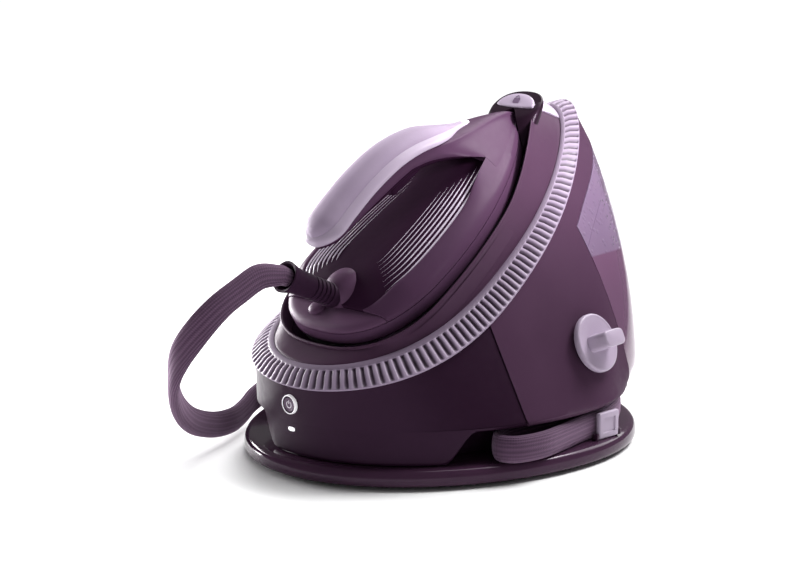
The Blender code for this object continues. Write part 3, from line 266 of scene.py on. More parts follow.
def hose_finish():
    """Braided textile sleeve: dull cords run along it, crossed by a fine weave, with a soft bloom of loose fibre.

    The UV map gives u as a share of the way round and v as metres along. Cords 2.4 mm and picks 1.6 mm apart are
    about twice as coarse as real ones, so that they show.
    """
    made, tree, shader = blank("braided_textile_sleeve")
    place = add(tree, "ShaderNodeUVMap", uv_map="along")
    axes = add(tree, "ShaderNodeSeparateXYZ", {"Vector": (place, "UV")})
    ribs = add(tree, "ShaderNodeMath", {0: (axes, "X")}, {1: 2 * pi * HOSE_CORDS}, operation="MULTIPLY")
    rib = add(tree, "ShaderNodeMath", {0: (ribs, "Value")}, operation="SINE")
    picks = add(tree, "ShaderNodeMath", {0: (axes, "Y")}, {1: 2 * pi / (1.6 * MM)}, operation="MULTIPLY")
    lean = add(tree, "ShaderNodeMath", {0: (picks, "Value"), 1: (ribs, "Value")}, operation="ADD")
    pick = add(tree, "ShaderNodeMath", {0: (lean, "Value")}, operation="SINE")
    both = add(tree, "ShaderNodeMath", {0: (rib, "Value"), 1: (pick, "Value"), 2: (rib, "Value")},
               operation="MULTIPLY_ADD")
    level = add(tree, "ShaderNodeMapRange", {"Value": (both, "Value")},
                {"From Min": -2.0, "From Max": 2.0, "To Min": 0.0, "To Max": 1.0})
    tint = add(tree, "ShaderNodeMix", {"Factor": (level, "Result")}, {"A": linear("362337"), "B": linear("634961")},
               data_type="RGBA")
    relief = add(tree, "ShaderNodeBump", {"Height": (level, "Result")}, {"Distance": 0.35 * MM, "Strength": 1.0})
    feed(tree, shader, {"Base Color": (tint, "Result"), "Normal": (relief, "Normal")},
         {"Roughness": 0.78, "Specular IOR Level": 0.15, "Sheen Weight": 0.5, "Sheen Tint": linear("DDBEDD")})
    return made


FLUTED_LILAC = flute_finish()
TANK_TINT = tank_finish()
HOSE_CLOTH = hose_finish()


def take(piece):
    """Make one piece the only selected and active one."""
    bpy.ops.object.select_all(action="DESELECT")
    piece.select_set(True)
    bpy.context.view_layer.objects.active = piece


def new_object(name, data):
    """Object in the scene for a new mesh, light or camera."""
    made = bpy.data.objects.new(name, data)
    bpy.context.scene.collection.objects.link(made)
    return made


def edit_all(piece, operator, **options):
    """Run one mesh operator on the whole of a piece."""
    take(piece)
    bpy.ops.object.mode_set(mode="EDIT")
    bpy.ops.mesh.select_all(action="SELECT")
    operator(**options)
    bpy.ops.object.mode_set(mode="OBJECT")


def skin(name, sections, looped=False):
    """Skin closed sections in turn; ends are closed with fans unless the skin loops back."""
    size = len(sections[0])
    points = [tuple(point) for section in sections for point in section]
    rows = len(sections)
    faces = []
    for r in range(rows if looped else rows - 1):
        a, b = r * size, ((r + 1) % rows) * size
        for i in range(size):
            j = (i + 1) % size
            faces.append((a + i, a + j, b + j, b + i))
    if not looped:
        for row in (0, rows - 1):
            middle = sum((Vector(p) for p in sections[row]), Vector()) / size
            points.append(tuple(middle))
            for i in range(size):
                faces.append((row * size + i, row * size + (i + 1) % size, len(points) - 1))
    mesh = bpy.data.meshes.new(name)
    mesh.from_pydata(points, [], faces)
    piece = new_object(name, mesh)
    edit_all(piece, bpy.ops.mesh.normals_make_consistent, inside=False)
    return piece


def cut(piece, tool, operation="DIFFERENCE"):
    """Boolean with a tool that is then thrown away."""
    take(piece)
    step = piece.modifiers.new("cut", "BOOLEAN")
    step.operation = operation
    step.solver = "EXACT"
    step.object = tool
    bpy.ops.object.modifier_apply(modifier=step.name)
    bpy.data.objects.remove(tool, do_unlink=True)


def keep_side(piece, place, normal, below):
    """Slice a piece with a plane, close the slice and keep the part below or above it."""
    edit_all(piece, bpy.ops.mesh.bisect, plane_co=place, plane_no=normal, use_fill=True, clear_outer=below,
             clear_inner=not below)


def settle(piece, body, finish, nodes, degrees=38):
    """Give a piece its finish and smoothing, and hand it to the body it moves with."""
    piece.data.materials.clear()
    piece.data.materials.append(finish)
    take(piece)
    bpy.ops.object.shade_smooth_by_angle(angle=radians(degrees))
    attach(piece, body)
    if nodes:
        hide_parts(*nodes)


def set_place(piece, matrix):
    """Move a piece and write the place into its mesh."""
    piece.matrix_world = matrix @ piece.matrix_world
    take(piece)
    bpy.ops.object.transform_apply(location=True, rotation=True, scale=True)


def dress(node, finish):
    """Finish for a node of the frame that stays showing."""
    NODES[node].data.materials.clear()
    NODES[node].data.materials.append(finish)


def power(value, exponent):
    """Sine or cosine bent so that a circle becomes a rounded oblong; exponent 2 leaves it round."""
    return abs(value) ** (2 / exponent) * (1 if value >= 0 else -1)


def turns(count=POINTS):
    """Angles once round, half a step off the axes."""
    return [2 * pi * (i + 0.5) / count for i in range(count)]


def plate_point(t, inset, z):
    """Point of the plate's outline, wider towards the rear."""
    y = (PLATE_DEPTH - inset) * power(sin(t), 2.1)
    x = (PLATE_WIDTH - inset) * power(cos(t), 2.05)
    return Vector((x * (1 + PLATE_FLARE * y / PLATE_DEPTH), y, z))


def around(point, *sizes):
    """Outline: a point function once round at the given sizes."""
    return [point(t, *sizes) for t in turns()]


def neck_point(t, extra, z):
    """Point of the neck that carries the body, fuller at the front."""
    return plate_point(t, NECK_INSET + extra - NECK_FRONT_GAIN * max(0, -sin(t)) ** 2, z)


def ring_point(t, inset, lift):
    """Point of the sloping ring, which narrows and curls up towards its top."""
    q = (RING_LENGTH - inset) * power(sin(t), 2.75)
    share = q / RING_LENGTH
    p = (RING_WIDTH - inset) * power(cos(t), 1.95) * (1 - RING_TAPER * share)
    h = lift + RING_CURL * share ** 2 + RING_TWIST * share ** 3
    return RING_CENTRE + Matrix.Rotation(RING_TILT, 3, "X") @ Vector((p, q, h))


def ease(value):
    """Smooth step from 0 to 1."""
    value = min(1.0, max(0.0, value))
    return value * value * (3 - 2 * value)


def apron(t):
    """Share of the full height by which the front wall comes down to the plate, by angle."""
    degrees = (t * 180 / pi + 180) % 360 - 180
    return ease((degrees - APRON_LEFT) / 11) * ease((APRON_RIGHT - degrees) / 10)


def fullness(t, share):
    """Extra reach of the rear corners, which stay nearly upright down to their rolled edge."""
    degrees = t * 180 / pi % 360
    return CORNER_SWELL * ease((60 - abs(degrees - 90)) / 20) * ease(share / 0.1) * (1 - share) ** 0.4


def body_point(t, extra, share, lift=0.0, drop=0.0):
    """Point of the flank, a share of the way from the plate's outline to the ring's."""
    inset = BODY_INSET + extra + BODY_FRONT_INSET * max(0, -sin(t)) ** 2
    low = plate_point(t, inset, BODY_LOW + lift - drop * apron(t))
    high = ring_point(t, extra + 1 * MM, -0.3 * MM)
    swell = 4 * share * (1 - share) * (BODY_SWELL * max(0, sin(t)) ** 0.7 + REAR_SWELL * max(0, sin(t)) ** 2)
    return low.lerp(high, share) + Vector((cos(t), sin(t), 0)) * (swell + fullness(t, share))


def iron_row(margin, h, nose_margin=None, widest=SOLE_WIDEST, count=POINTS):
    """Outline of the sole, grown by a margin, at a height in the iron's frame."""
    nose = SOLE_NOSE + (margin if nose_margin is None else nose_margin)
    row = []
    for t in turns(count):
        if sin(t) > 0:
            q = widest + (nose - widest) * sin(t)
            p = (SOLE_WIDTH + margin) * power(cos(t), 2 / SOLE_POINT)
        else:
            q = widest + (widest - SOLE_HEEL + margin) * power(sin(t), 2.3)
            p = (SOLE_WIDTH + margin) * power(cos(t), 2.5)
        row.append(Vector((p, q, h)))
    return row


def on_iron(row):
    """Row from the iron's frame to the object's."""
    return [IRON @ point for point in row]


def iron_at(p, q, h):
    """Point from millimetres across, along and above the iron."""
    return IRON @ (Vector((p, q, h)) * MM)


def oval_rows(levels, count):
    """Rounded sections over the iron: height, middle, half length and half width, in mm."""
    return [[iron_at(wide * power(cos(a), 2.2), middle + long * power(sin(a), 2.2), h) for a in turns(count)]
            for h, middle, long, wide in levels]


def stacked_rows(place, half, bends, levels, count):
    """Sections over a place, in mm: half sizes, how square they are, and a (height, share of size) for each."""
    return [[place @ (Vector((half[0] * share * power(cos(a), bends[0]), half[1] * share * power(sin(a), bends[1]), h))
                      * MM) for a in turns(count)] for h, share in levels]


def wire_rows(place, spots, half_wide, half_high):
    """Sections of a thin round wire over a place, in mm, along pairs of middle and outward direction."""
    return [[place @ ((middle + out * half_wide * cos(a) + Vector((0, 0, half_high * sin(a)))) * MM) for a in turns(8)]
            for middle, out in spots]


def lip_row(margin, h, raised=1.0):
    """Outline of the dock's lip; it climbs towards the lock at the nose."""
    row = iron_row(7 * MM + margin, h, 24 * MM + margin, -70 * MM)
    for point in row:
        point.z += raised * (LIP_GAIN + LIP_CLIMB * ease((point.y - 30 * MM) / (120 * MM)))
    return on_iron(row)


def smooth_path(points, per_span):
    """Dense points on a smooth curve through a route."""
    dense = []
    ends = [points[0] * 2 - points[1]] + points + [points[-1] * 2 - points[-2]]
    for a, b, c, d in zip(ends, ends[1:], ends[2:], ends[3:]):
        for i in range(per_span):
            s = i / per_span
            dense.append(0.5 * (2 * b + (c - a) * s + (2 * a - 5 * b + 4 * c - d) * s ** 2
                                + (3 * b - a - 3 * c + d) * s ** 3))
    return dense + [points[-1]]


def make_hose():
    """Flat braided hose from the boot's mouth, down in a free loop and three times round the neck."""
    along = (BOOT_END - BOOT_START).normalized()
    route = [BOOT_END + along * 4.5 * MM]
    route += [plate_point(radians(a), inset * MM, z * MM) for a, inset, z in HOSE_ROUTE]
    line = smooth_path(route, 12)
    line.insert(0, BOOT_END - along * 3 * MM)
    rows, run, runs = [], 0.0, []
    for i, point in enumerate(line):
        before, after = line[max(0, i - 1)], line[min(len(line) - 1, i + 1)]
        ahead = (after - before).normalized()
        across = ahead.cross(Vector((0, 0, 1))).normalized()
        upward = across.cross(ahead)
        run += (point - before).length
        runs.append(run)
        near = max(0.0, 1 - run / (32 * MM))  # rounder where it leaves the boot
        half_thin = HOSE_HALF[0] + near * 2.2 * MM
        half_wide = HOSE_HALF[1] - near * 3.6 * MM
        row = []
        for t in turns(HOSE_SIDES):
            ripple = 1 + 0.022 * cos(HOSE_CORDS * t)
            u = half_thin * power(cos(t), 2.5) * ripple
            v = half_wide * power(sin(t), 2.5) * ripple
            row.append(point + across * u + upward * v)
        rows.append(row)
    piece = skin("steam_hose_sleeve", rows)
    uv = piece.data.uv_layers.new(name="along")
    for face in piece.data.polygons:
        corners = [piece.data.loops[loop].vertex_index for loop in face.loop_indices]
        closing = any(corner % HOSE_SIDES == HOSE_SIDES - 1 for corner in corners)
        for loop, corner in zip(face.loop_indices, corners):
            if corner < len(rows) * HOSE_SIDES:
                r, i = divmod(corner, HOSE_SIDES)
                turn = (i + 0.5) / HOSE_SIDES + (1 if i == 0 and closing else 0)
                uv.data[loop].uv = (turn, runs[r])
    piece.data.materials.append(HOSE_CLOTH)
    take(piece)
    bpy.ops.object.shade_smooth_by_angle(angle=radians(60))
    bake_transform(piece)
    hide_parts("steam_hose")


def make_plate():
    """Glossy plate under everything: rolled rim, flat top, open underneath."""
    outer = [(2, 3), (1.1, 3.3), (0.4, 4.2), (0, 6), (0, 8), (0.25, 10.5), (0.9, 12.6), (1.9, 14.1), (3.2, 15.1),
             (5, 15.75), (7.5, 16), (20, 16), (60, 16)]
    inner = [(60, 13), (7, 13), (3.4, 11), (3, 7), (5, 3)]
    rows = [around(plate_point, inset * MM, z * MM) for inset, z in inner + outer]
    settle(skin("glossy_base_plate", rows), "base", GLOSS_PLUM, ["base_plate"])


def body_wall(name, extra, drop):
    """Wall of the body as one closed skin: neck, rolled lower edge, flank up to the ring, and back inside."""
    outer = [around(neck_point, 0, PLATE_TOP + 0.3 * MM), around(neck_point, 0, NECK_TOP - 3 * MM),
             around(neck_point, -0.8 * MM, NECK_TOP - 0.9 * MM), around(neck_point, -3 * MM, NECK_TOP)]
    outer += [around(body_point, extra + inset * MM, 0, lift * MM, drop)
              for inset, lift in ((3.2, 0), (1.2, 0.25), (0.3, 1.2), (0, 2.6))]
    outer.append(around(body_point, extra, 0, 2.6 * MM))
    outer += [around(body_point, extra, share) for share in WALL_SHARES]
    inside = BODY_WALL + extra
    inner = [around(neck_point, BODY_WALL, PLATE_TOP + 0.3 * MM), around(neck_point, BODY_WALL, NECK_TOP + BODY_WALL),
             around(body_point, inside, 0, BODY_WALL, drop), around(body_point, inside, 0, BODY_WALL + 1 * MM)]
    inner += [around(body_point, inside, share) for share in WALL_SHARES]
    return skin(name, outer + inner[::-1], looped=True)


def halve(piece, front):
    """Keep the wall in front of or behind the leaning seam, a hair short of it."""
    normal = Matrix.Rotation(SPLIT_LEAN, 3, "X") @ Vector((0, 1, 0))
    keep_side(piece, SPLIT_PLACE + normal * (-SEAM_GAP if front else SEAM_GAP), normal, front)


def bay_front(drop, setback):
    """Upper front edge (y, z) of the tank bay, below its roof by a drop and behind its front by a setback."""
    fall = drop / cos(BAY_SLOPE)
    run = (BAY_LEAN * fall + setback) / (1 + BAY_LEAN * tan(BAY_SLOPE))
    return BAY_APEX.y + run, BAY_APEX.z + run * tan(BAY_SLOPE) - fall


def bay_foot(z, setback):
    """Place of the bay's leaning front at a height."""
    return BAY_APEX.y + BAY_LEAN * (BAY_APEX.z - z) + setback


def roof_back(drop):
    """Height of the bay's roof at the far back of the cutting tools."""
    y, z = bay_front(drop, 0)
    return z + (BAY_BACK - y) * tan(BAY_SLOPE)


def slab(name, outline):
    """Block through the whole width with a given side outline, as a cutting tool."""
    return skin(name, [[Vector((x, y, z)) for y, z in outline] for x in (-BAY_BACK, BAY_BACK)])


def behind_bay(name, low, drop, setback):
    """Tool that fills the bay from a height up to a drop below its roof."""
    return slab(name, [(bay_foot(low, setback), low), (BAY_BACK, low), (BAY_BACK, roof_back(drop)),
                       bay_front(drop, setback)])


def under_roof(name, deep, shallow, setback):
    """Tool that fills a layer under the bay's roof, where the lid is."""
    return slab(name, [bay_front(deep, setback), (BAY_BACK, roof_back(deep)), (BAY_BACK, roof_back(shallow)),
                       bay_front(shallow, setback)])


def make_body():
    """Front panel and side panel, parted at the leaning seam, with the tank bay cut out of the rear."""
    front = body_wall("front_panel_wall", 0.8 * MM, APRON_DROP)
    halve(front, True)
    settle(front, "base", SATIN_PLUM, ["front_housing"])
    rear = body_wall("side_panel_wall", 0.0, 0.0)
    halve(rear, False)
    cut(rear, behind_bay("bay_tool", BODY_LOW - 0.6 * MM, -0.6 * MM, -0.6 * MM))
    settle(rear, "base", SATIN_MAUVE, ["rear_housing"])


def body_solid(name, extra):
    """The whole body as a solid, for the tank and lid to be cut from."""
    return skin(name, [around(body_point, extra, share) for share in (0.0, *WALL_SHARES)])


def make_tank():
    """Tinted tank and its lid, both hollow."""
    low = BODY_LOW + 0.3 * MM
    tank = body_solid("tinted_water_tank", 0.0)
    cut(tank, behind_bay("tank_tool", low, LID_THICK + 0.3 * MM, 0), "INTERSECT")
    hollow = body_solid("tank_hollow", TANK_WALL)
    cut(hollow, behind_bay("hollow_tool", low + TANK_WALL, 0, TANK_WALL), "INTERSECT")
    cut(tank, hollow)
    settle(tank, "tank", TANK_TINT, ["water_tank"], 30)
    lid = body_solid("tank_filler_lid", 0.0)
    cut(lid, under_roof("lid_tool", LID_THICK, 0, 0), "INTERSECT")
    hollow = body_solid("lid_hollow", TANK_WALL)
    cut(hollow, under_roof("lid_hollow_tool", 2 * LID_THICK, TANK_WALL, TANK_WALL), "INTERSECT")
    cut(lid, hollow)
    settle(lid, "tank", TANK_TINT, ["tank_lid"], 30)


def even_turns(count):
    """Angles that step evenly along the ring's own length."""
    samples = 6000
    fine = [2 * pi * i / samples for i in range(samples + 1)]
    spots = [ring_point(t, 7 * MM, 6 * MM) for t in fine]
    runs = [0.0]
    for a, b in zip(spots, spots[1:]):
        runs.append(runs[-1] + (b - a).length)
    picked, k = [], 0
    for i in range(count):
        goal = runs[-1] * i / count
        while runs[k + 1] < goal:
            k += 1
        share = (goal - runs[k]) / (runs[k + 1] - runs[k])
        picked.append(fine[k] + (fine[k + 1] - fine[k]) * share)
    return picked


def make_ring():
    """Fluted band round the sloping top, with the smooth strip inside it."""
    # Inset, lift and share of the flutes' depth at each point of the section
    profile = [(3, 0, 0), (0.8, 0, 0), (0.1, 0.2, 0), (-0.35, 0.9, 0), (-0.4, 1.6, 0), (0.0, 2.0, 0.1),
               (0.5, 2.45, 0.5), (1.6, 3.4, 0.85), (4.5, 5.8, 1), (8.5, 9.0, 1), (12.4, 11.0, 1), (13.4, 11.5, 0.9),
               (13.9, 11.75, 0.15), (14.4, 12.0, 0), (15.0, 12.35, 0), (16.5, 12.9, 0), (18.2, 13.35, 0),
               (18.7, 13.3, 0), (18.9, 12.9, 0), (18.9, 10.4, 0), (14.4, 8.2, 0)]
    strip_start, strip_shade = 14, 0.5
    steps = even_turns(FLUTES * len(FLUTE_WAVE))
    rows, depths = [], []
    for inset, lift, share in profile:
        row = []
        for i, t in enumerate(steps):
            depth = share * FLUTE_WAVE[i % len(FLUTE_WAVE)]
            dip = FLUTE_DEPTH * depth
            row.append(ring_point(t, inset * MM + FLUTE_IN * dip, lift * MM - FLUTE_DOWN * dip))
            depths.append(depth if inset < strip_start else strip_shade)
        rows.append(row)
    piece = skin("fluted_ring", rows, looped=True)
    # The groove attribute paints shade into the gaps between the flutes, by their depth; the smooth strip is set at a
    # fixed 0.45, a mid mauve.
    groove = piece.data.attributes.new("groove", "FLOAT", "POINT")
    groove.data.foreach_set("value", [min(1.0, d * 0.9) for d in depths])
    settle(piece, "base", FLUTED_LILAC, ["rib_ring"], 50)


def make_collar():
    """Wall of the dock that rises from the ring to a thin rolled lip."""
    edge = RING_EDGE + 0.3 * MM
    rows = [around(ring_point, edge, RING_RISE - 1.5 * MM), around(ring_point, edge, RING_RISE - 0.4 * MM)]
    foot, lip = around(ring_point, edge + 0.5 * MM, RING_RISE), lip_row(2.4 * MM, 6 * MM)
    for share in (0.0, 0.12, 0.3, 0.5, 0.7, 0.9, 1.0):
        rows.append([a.lerp(b, share) for a, b in zip(foot, lip)])
    for margin, h in ((2.4, 6.9), (2.1, 7.6), (1.6, 8), (1.0, 8.05), (0.4, 7.7), (0.05, 7.0), (0, 6)):
        rows.append(lip_row(margin * MM, h * MM))
    rows += [lip_row(0, -4.7 * MM, 0), lip_row(2.4 * MM, -4.7 * MM, 0), lip_row(2.4 * MM, 3 * MM)]
    collar = skin("dock_collar_wall", rows, looped=True)
    cut(collar, skin("button_well", button_rows(1.0, ((-7, 1), (7, 1)))))
    settle(collar, "base", COLLAR_MAUVE, ["dock_collar"])


def make_rear_cap():
    """Lilac cap over the top of the collar, between the ring's strip and the lock."""
    foot, lip = around(ring_point, RING_EDGE + 0.8 * MM, RING_RISE), lip_row(2.4 * MM, 6 * MM)
    section = ((0.0, -0.4), (-0.02, 0.5), (0.03, 1.0), (0.2, 1.3), (0.45, 1.4), (0.62, 1.2), (0.68, 0.6), (0.68, -0.4))
    rows = []
    for i in range(POINTS * 68 // 360, POINTS * 112 // 360 + 1):  # 22 degrees to each side of the top
        out = (foot[i] - lip[i]).normalized()
        ahead = (foot[i + 1] - foot[i - 1]).normalized()
        up = ahead.cross(out)
        up = up if up.z > 0 else -up
        rows.append([foot[i].lerp(lip[i], share) + up * rise * MM for share, rise in section])
    settle(skin("collar_top_cap", rows), "base", LILAC, (), 40)


# Crown of the nose and handle in the iron's frame, mm: place, top, half width
CROWN = smooth_path([Vector(spot) for spot in (
    (136, 28, 1), (133, 31, 1.5), (124, 38, 4), (106, 47.5, 8.5), (88, 55.5, 13.5), (70, 63, 18), (52, 70, 20.2),
    (34, 77.5, 20.5), (14, 84.5, 19.5), (-10, 89, 19), (-40, 89.5, 19), (-66, 87, 18.5), (END_START, 84.8, 18))], 6)


def crown(q):
    """Top and half width of the crown at a place along the iron."""
    for a, b in zip(CROWN, CROWN[1:]):
        if q >= b.x:
            share = min(1.0, max(0.0, (a.x - q) / (a.x - b.x)))
            return tuple(a.lerp(b, share))[1:]
    return tuple(CROWN[-1])[1:]


def flank_foot(q, half):
    """Foot of the flat flank, half width and height in mm: just inside the sole's outline, lower at the tip."""
    spread = max(0.0, 1 - ((q + 55) / 190) ** 2) ** 0.5
    return max(half + 0.2, 69.6 * spread ** SOLE_POINT - 1.4), 28 - 4 * ease((q - 118) / 15)


def flank_height(p, q):
    """Height of the flank's plane above a spot of the iron."""
    top, half = crown(q)
    foot, foot_height = flank_foot(q, half)
    return foot_height + (foot - min(foot, max(half, abs(p)))) * (top - SHOULDER - foot_height) / (foot - half)


def settle_heel(row):
    """Let the upper rows sink towards the heel, down to the top of the heel cover."""
    for point in row:
        if point.z > HEEL_TOP:
            point.z = HEEL_TOP + (point.z - HEEL_TOP) * (0.2 + 0.8 * ease((point.y + 122 * MM) / (44 * MM)))
    return row


def crest_row(margin, h):
    """Row of the shell's shoulder: round at the heel, on the plane of the nose's flank further up."""
    row = iron_row(margin * MM, h * MM)
    for point in row:
        q = point.y / MM
        if margin < -1.5:
            plane = flank_height(point.x / MM, q) - 0.2 - (0.4 if h < 36.5 and margin < -14 else 0)
            point.z = MM * (h + (plane - h) * ease((q - 5) / 50))
    return on_iron(settle_heel(row))


def make_shell():
    """Skirt, side shell with its rolled shoulder, and heel cover of the iron."""
    low = 8.3 * MM
    skirt = [(-1, low), (0.2, low + 0.8 * MM), (1, low + 3 * MM), (1, low + 9 * MM), (0.5, 20 * MM), (-4, 20 * MM),
             (-4, low)]
    rows = [on_iron(iron_row(m * MM, h)) for m, h in skirt]
    settle(skin("sole_skirt_band", rows, looped=True), "iron", PEARL_MAUVE, ["sole_skirt"])
    profile = ((0.2, 20.3), (0.8, 20.9), (0.9, 22), (0.5, 24.2), (-0.6, 27), (-2.4, 29.8), (-4.8, 32.3),
               (-7.6, 34.3), (-10.4, 35.8), (-12.6, 36.7), (-13.8, 36.9), (-14.6, 36.6), (-14.8, 35.8))
    rows = [on_iron(iron_row(-14.8 * MM, 20.3 * MM))] + [crest_row(*step) for step in profile]
    shell = skin("iron_side_shell", rows, looped=True)
    slice_heel(shell, False)
    settle(shell, "iron", PEARL_MAUVE, ["iron_shell"])
    profile = ((0.2, 20.3), (0.8, 20.8), (0.9, 21.6), (0.5, 22.8), (-0.8, 24.3), (-2.6, 25.3), (-4.8, 25.9),
               (-8, 26.1), (-30, 26.2))
    cover = skin("heel_cover_block", [on_iron(iron_row(m * MM, h * MM)) for m, h in profile])
    slice_heel(cover, True)
    settle(cover, "iron", HEEL_MAUVE, ["heel_cover"])


def slice_heel(piece, heel):
    """Keep the nose side or the heel side of the line where the heel cover starts."""
    place = IRON @ Vector((0, HEEL_SPLIT + (-HEEL_GAP if heel else HEEL_GAP), 0))
    keep_side(piece, place, IRON.to_3x3() @ Vector((0, 1, 0)), heel)


def cover_height(inset):
    """Crown of the dark cover: low at its rim and rising to the middle."""
    share = min(1.0, inset / (40 * MM))
    return 35.4 * MM + 5.5 * MM * (1 - (1 - share) ** 2)


def make_cover():
    """Domed dark cover inside the shell's shoulder, and the fine ribs along both its sides."""
    rows = [iron_row(-COVER_INSET, 21 * MM)]
    for inset in (0, 1, 3, 6, 10, 15, 21, 28, 36, 42):
        rows.append(iron_row(-COVER_INSET - inset * MM, cover_height(inset * MM)))
    cover = skin("domed_dark_cover", [on_iron(settle_heel(row)) for row in rows])
    slice_heel(cover, False)
    settle(cover, "iron", DARK_COVER, ["top_cover"])
    for k in range(RIBS):  # each rib is finer and shorter than the one outside it
        inset = COVER_INSET + (1.6 + 4.2 * k) * MM
        beads = []
        for a in turns(10):
            out = inset - (1.0 - 0.07 * k) * MM * cos(a)
            height = cover_height(out - COVER_INSET) + 0.8 * MM * sin(a)
            beads.append(settle_heel(iron_row(-out, height, count=360)))
        for side, label, start in ((1, "right", -34), (-1, "left", -46)):
            rows = []
            first, last = round(start + 1.2 * k), round(45 - 2.2 * k)
            for i in range(first, last + 1):
                share = (i - first) / (last - first)
                if side > 0:
                    swell = (0.12 + 0.88 * ease(1.5 * share)) * (1 - 0.09 * k)
                else:
                    swell = 1 - 0.8 * ease(2 * share - 0.6)
                taper = min(1.0, 6 * share, 6 * (1 - share)) * swell * 0.96 + 0.04
                spine = sum((bead[i] for bead in beads), Vector()) / len(beads)
                row = [spine.lerp(bead[i], taper) for bead in beads]
                rows.append([IRON @ Vector((side * p.x, p.y, p.z)) for p in row])
            settle(skin(f"cover_rib_{label}_{k + 1}", rows), "iron", RIB_EDGE, (), 70)


def handle_stations():
    """Stations along the handle: place, top of the core and half width, in mm, with a round rear end."""
    line = [tuple(spot) for spot in CROWN if abs(spot.x - RECESS_FRONT) > 0.5]
    line += [(RECESS_FRONT + step, *crown(RECESS_FRONT + step)) for step in (0.05, -0.05)]
    line.sort(reverse=True)
    for i in range(1, 9):
        share = sin(pi / 2 * i / 8)
        line.append((END_START - END_RUN * share, 84.8 - 2.8 * share, 18 * (cos(pi / 2 * i / 8) * 0.97 + 0.03)))
    return line


def belly(q):
    """Underside of the handle on its middle line."""
    share = min(1.0, max(0.0, (RECESS_FRONT - q) / 60))
    return 21 if q > RECESS_FRONT else 40 + 30 * share ** 0.75 + 0.056 * max(0.0, -q)


def flank_edge(q, top, half):
    """Lower edge of the handle's flank: on the shell at the nose, rising to the rim along the open handle."""
    foot, foot_height = flank_foot(q, half)
    if q > RECESS_FRONT:
        return foot, foot_height
    open_share, low = ease((RECESS_FRONT - q) / 45), belly(q)
    height = low + (top - low) * (0.08 + 0.5 * open_share)
    on_flank = half + (foot - half) * (top - SHOULDER - height) / (top - SHOULDER - foot_height)
    return half + (on_flank - half) * (1 - open_share), height


def handle_section(q, top, half):
    """Section of the handle: low round crown, flat flanks down to their edge, round underside."""
    base, low = flank_edge(q, top, half)
    shoulder = top - min(SHOULDER, 0.4 * (top - low))
    row = []
    for a in turns(32):
        if sin(a) > 0:
            row.append((half * power(cos(a), HANDLE_BEND),
                        shoulder + (top - shoulder) * power(sin(a), HANDLE_BEND)))
    near = 4 / max(10, shoulder - low)
    steps = [0.35 * near, near] + [near + (1 - near) * share for share in (0.2, 0.4, 0.6, 0.8)]
    flank = [(half + (base - half) * s, shoulder + (low - shoulder) * s) for s in steps]
    row += [(-u, v) for u, v in flank]
    for a in turns(32):
        if sin(a) < 0:
            row.append((base * power(cos(a), HANDLE_BEND),
                        low - (low - belly(q)) * power(-sin(a), HANDLE_BEND)))
    row += flank[::-1]
    return [iron_at(u, q, v) for u, v in row]


def underside_shade_section(q, top, half):
    """Dark sheet over the underside of the handle: painted shade where the underside lies in shadow."""
    base, low = flank_edge(q, top, half)
    row = []
    for a in turns(48):
        sink = (low - belly(q) + 0.4) * power(-sin(a), HANDLE_BEND) if sin(a) < 0 else -1.5 * sin(a)
        row.append(iron_at((base - 0.25) * power(cos(a), HANDLE_BEND), q, low - 0.3 - sink))
    return row


def make_handle():
    """Pillar and open handle, its soft lilac pad, the pale rim between the two, and painted shade under the handle."""
    core, underside_shade_rows, pad, rim = [], [], [], []
    for q, top, half in handle_stations():
        core.append(handle_section(q, top, half))
        if q < RECESS_FRONT:
            underside_shade_rows.append(underside_shade_section(q, top, half))
        if q > PAD_START:
            continue
        lead = ease((PAD_START - q) / 52)
        end = max(0.0, 1 - (max(0.0, END_START - q) / (END_RUN + 0.1)) ** 2) ** 0.5
        width = (4.5 + 15.5 * lead) * (0.03 + 0.97 * end)
        bulge = (1.2 + 11.3 * lead) * (0.12 + 0.88 * end)
        row, edge = [], []
        for a in turns(64):
            u = max(0.3, width - 3.6 * lead) * power(cos(a), 2.3)
            v = top + 0.9 + (bulge * power(sin(a), 2.1) if sin(a) > 0 else 0.8 * sin(a))
            row.append(iron_at(u, q, v))
            reach = (width + 2.6 * (0.4 + 0.6 * lead)) * power(cos(a), 2.6)
            rise = (2.9 + 4.1 * lead * end) * power(sin(a), 2.3) if sin(a) > 0 else 2.9 * power(sin(a), 2.6)
            edge.append(iron_at(reach, q - 2.2 * (1 - end), top - 0.6 + rise))
        pad.append(row)
        rim.append(edge)
    settle(skin("handle_pillar_core", core), "iron", PEARL_MAUVE, ["handle_core"], 50)
    # Painted shade: a dark sheet over the open handle's underside, which lies in shadow.
    settle(skin("handle_underside_painted_shade", underside_shade_rows), "iron", DARK_COVER, (), 50)
    settle(skin("handle_soft_pad", pad), "iron", SOFT_PAD, ["handle_grip"], 60)
    settle(skin("handle_pad_rim", rim), "iron", PALE_RIM, (), 60)
    rows = []
    for h, share in ((-2, 1), (1.0, 1), (1.5, 0.9), (1.7, 0.6)):
        spots = [(3.6 * share * cos(a), 6.5 * share * sin(a)) for a in turns(40)]
        rows.append([iron_at(u, 82 + v, 58.2 + h - 0.44 * v) for u, v in spots])
    settle(skin("handle_end_lens", rows), "iron", BEZEL_WHITE, (), 50)


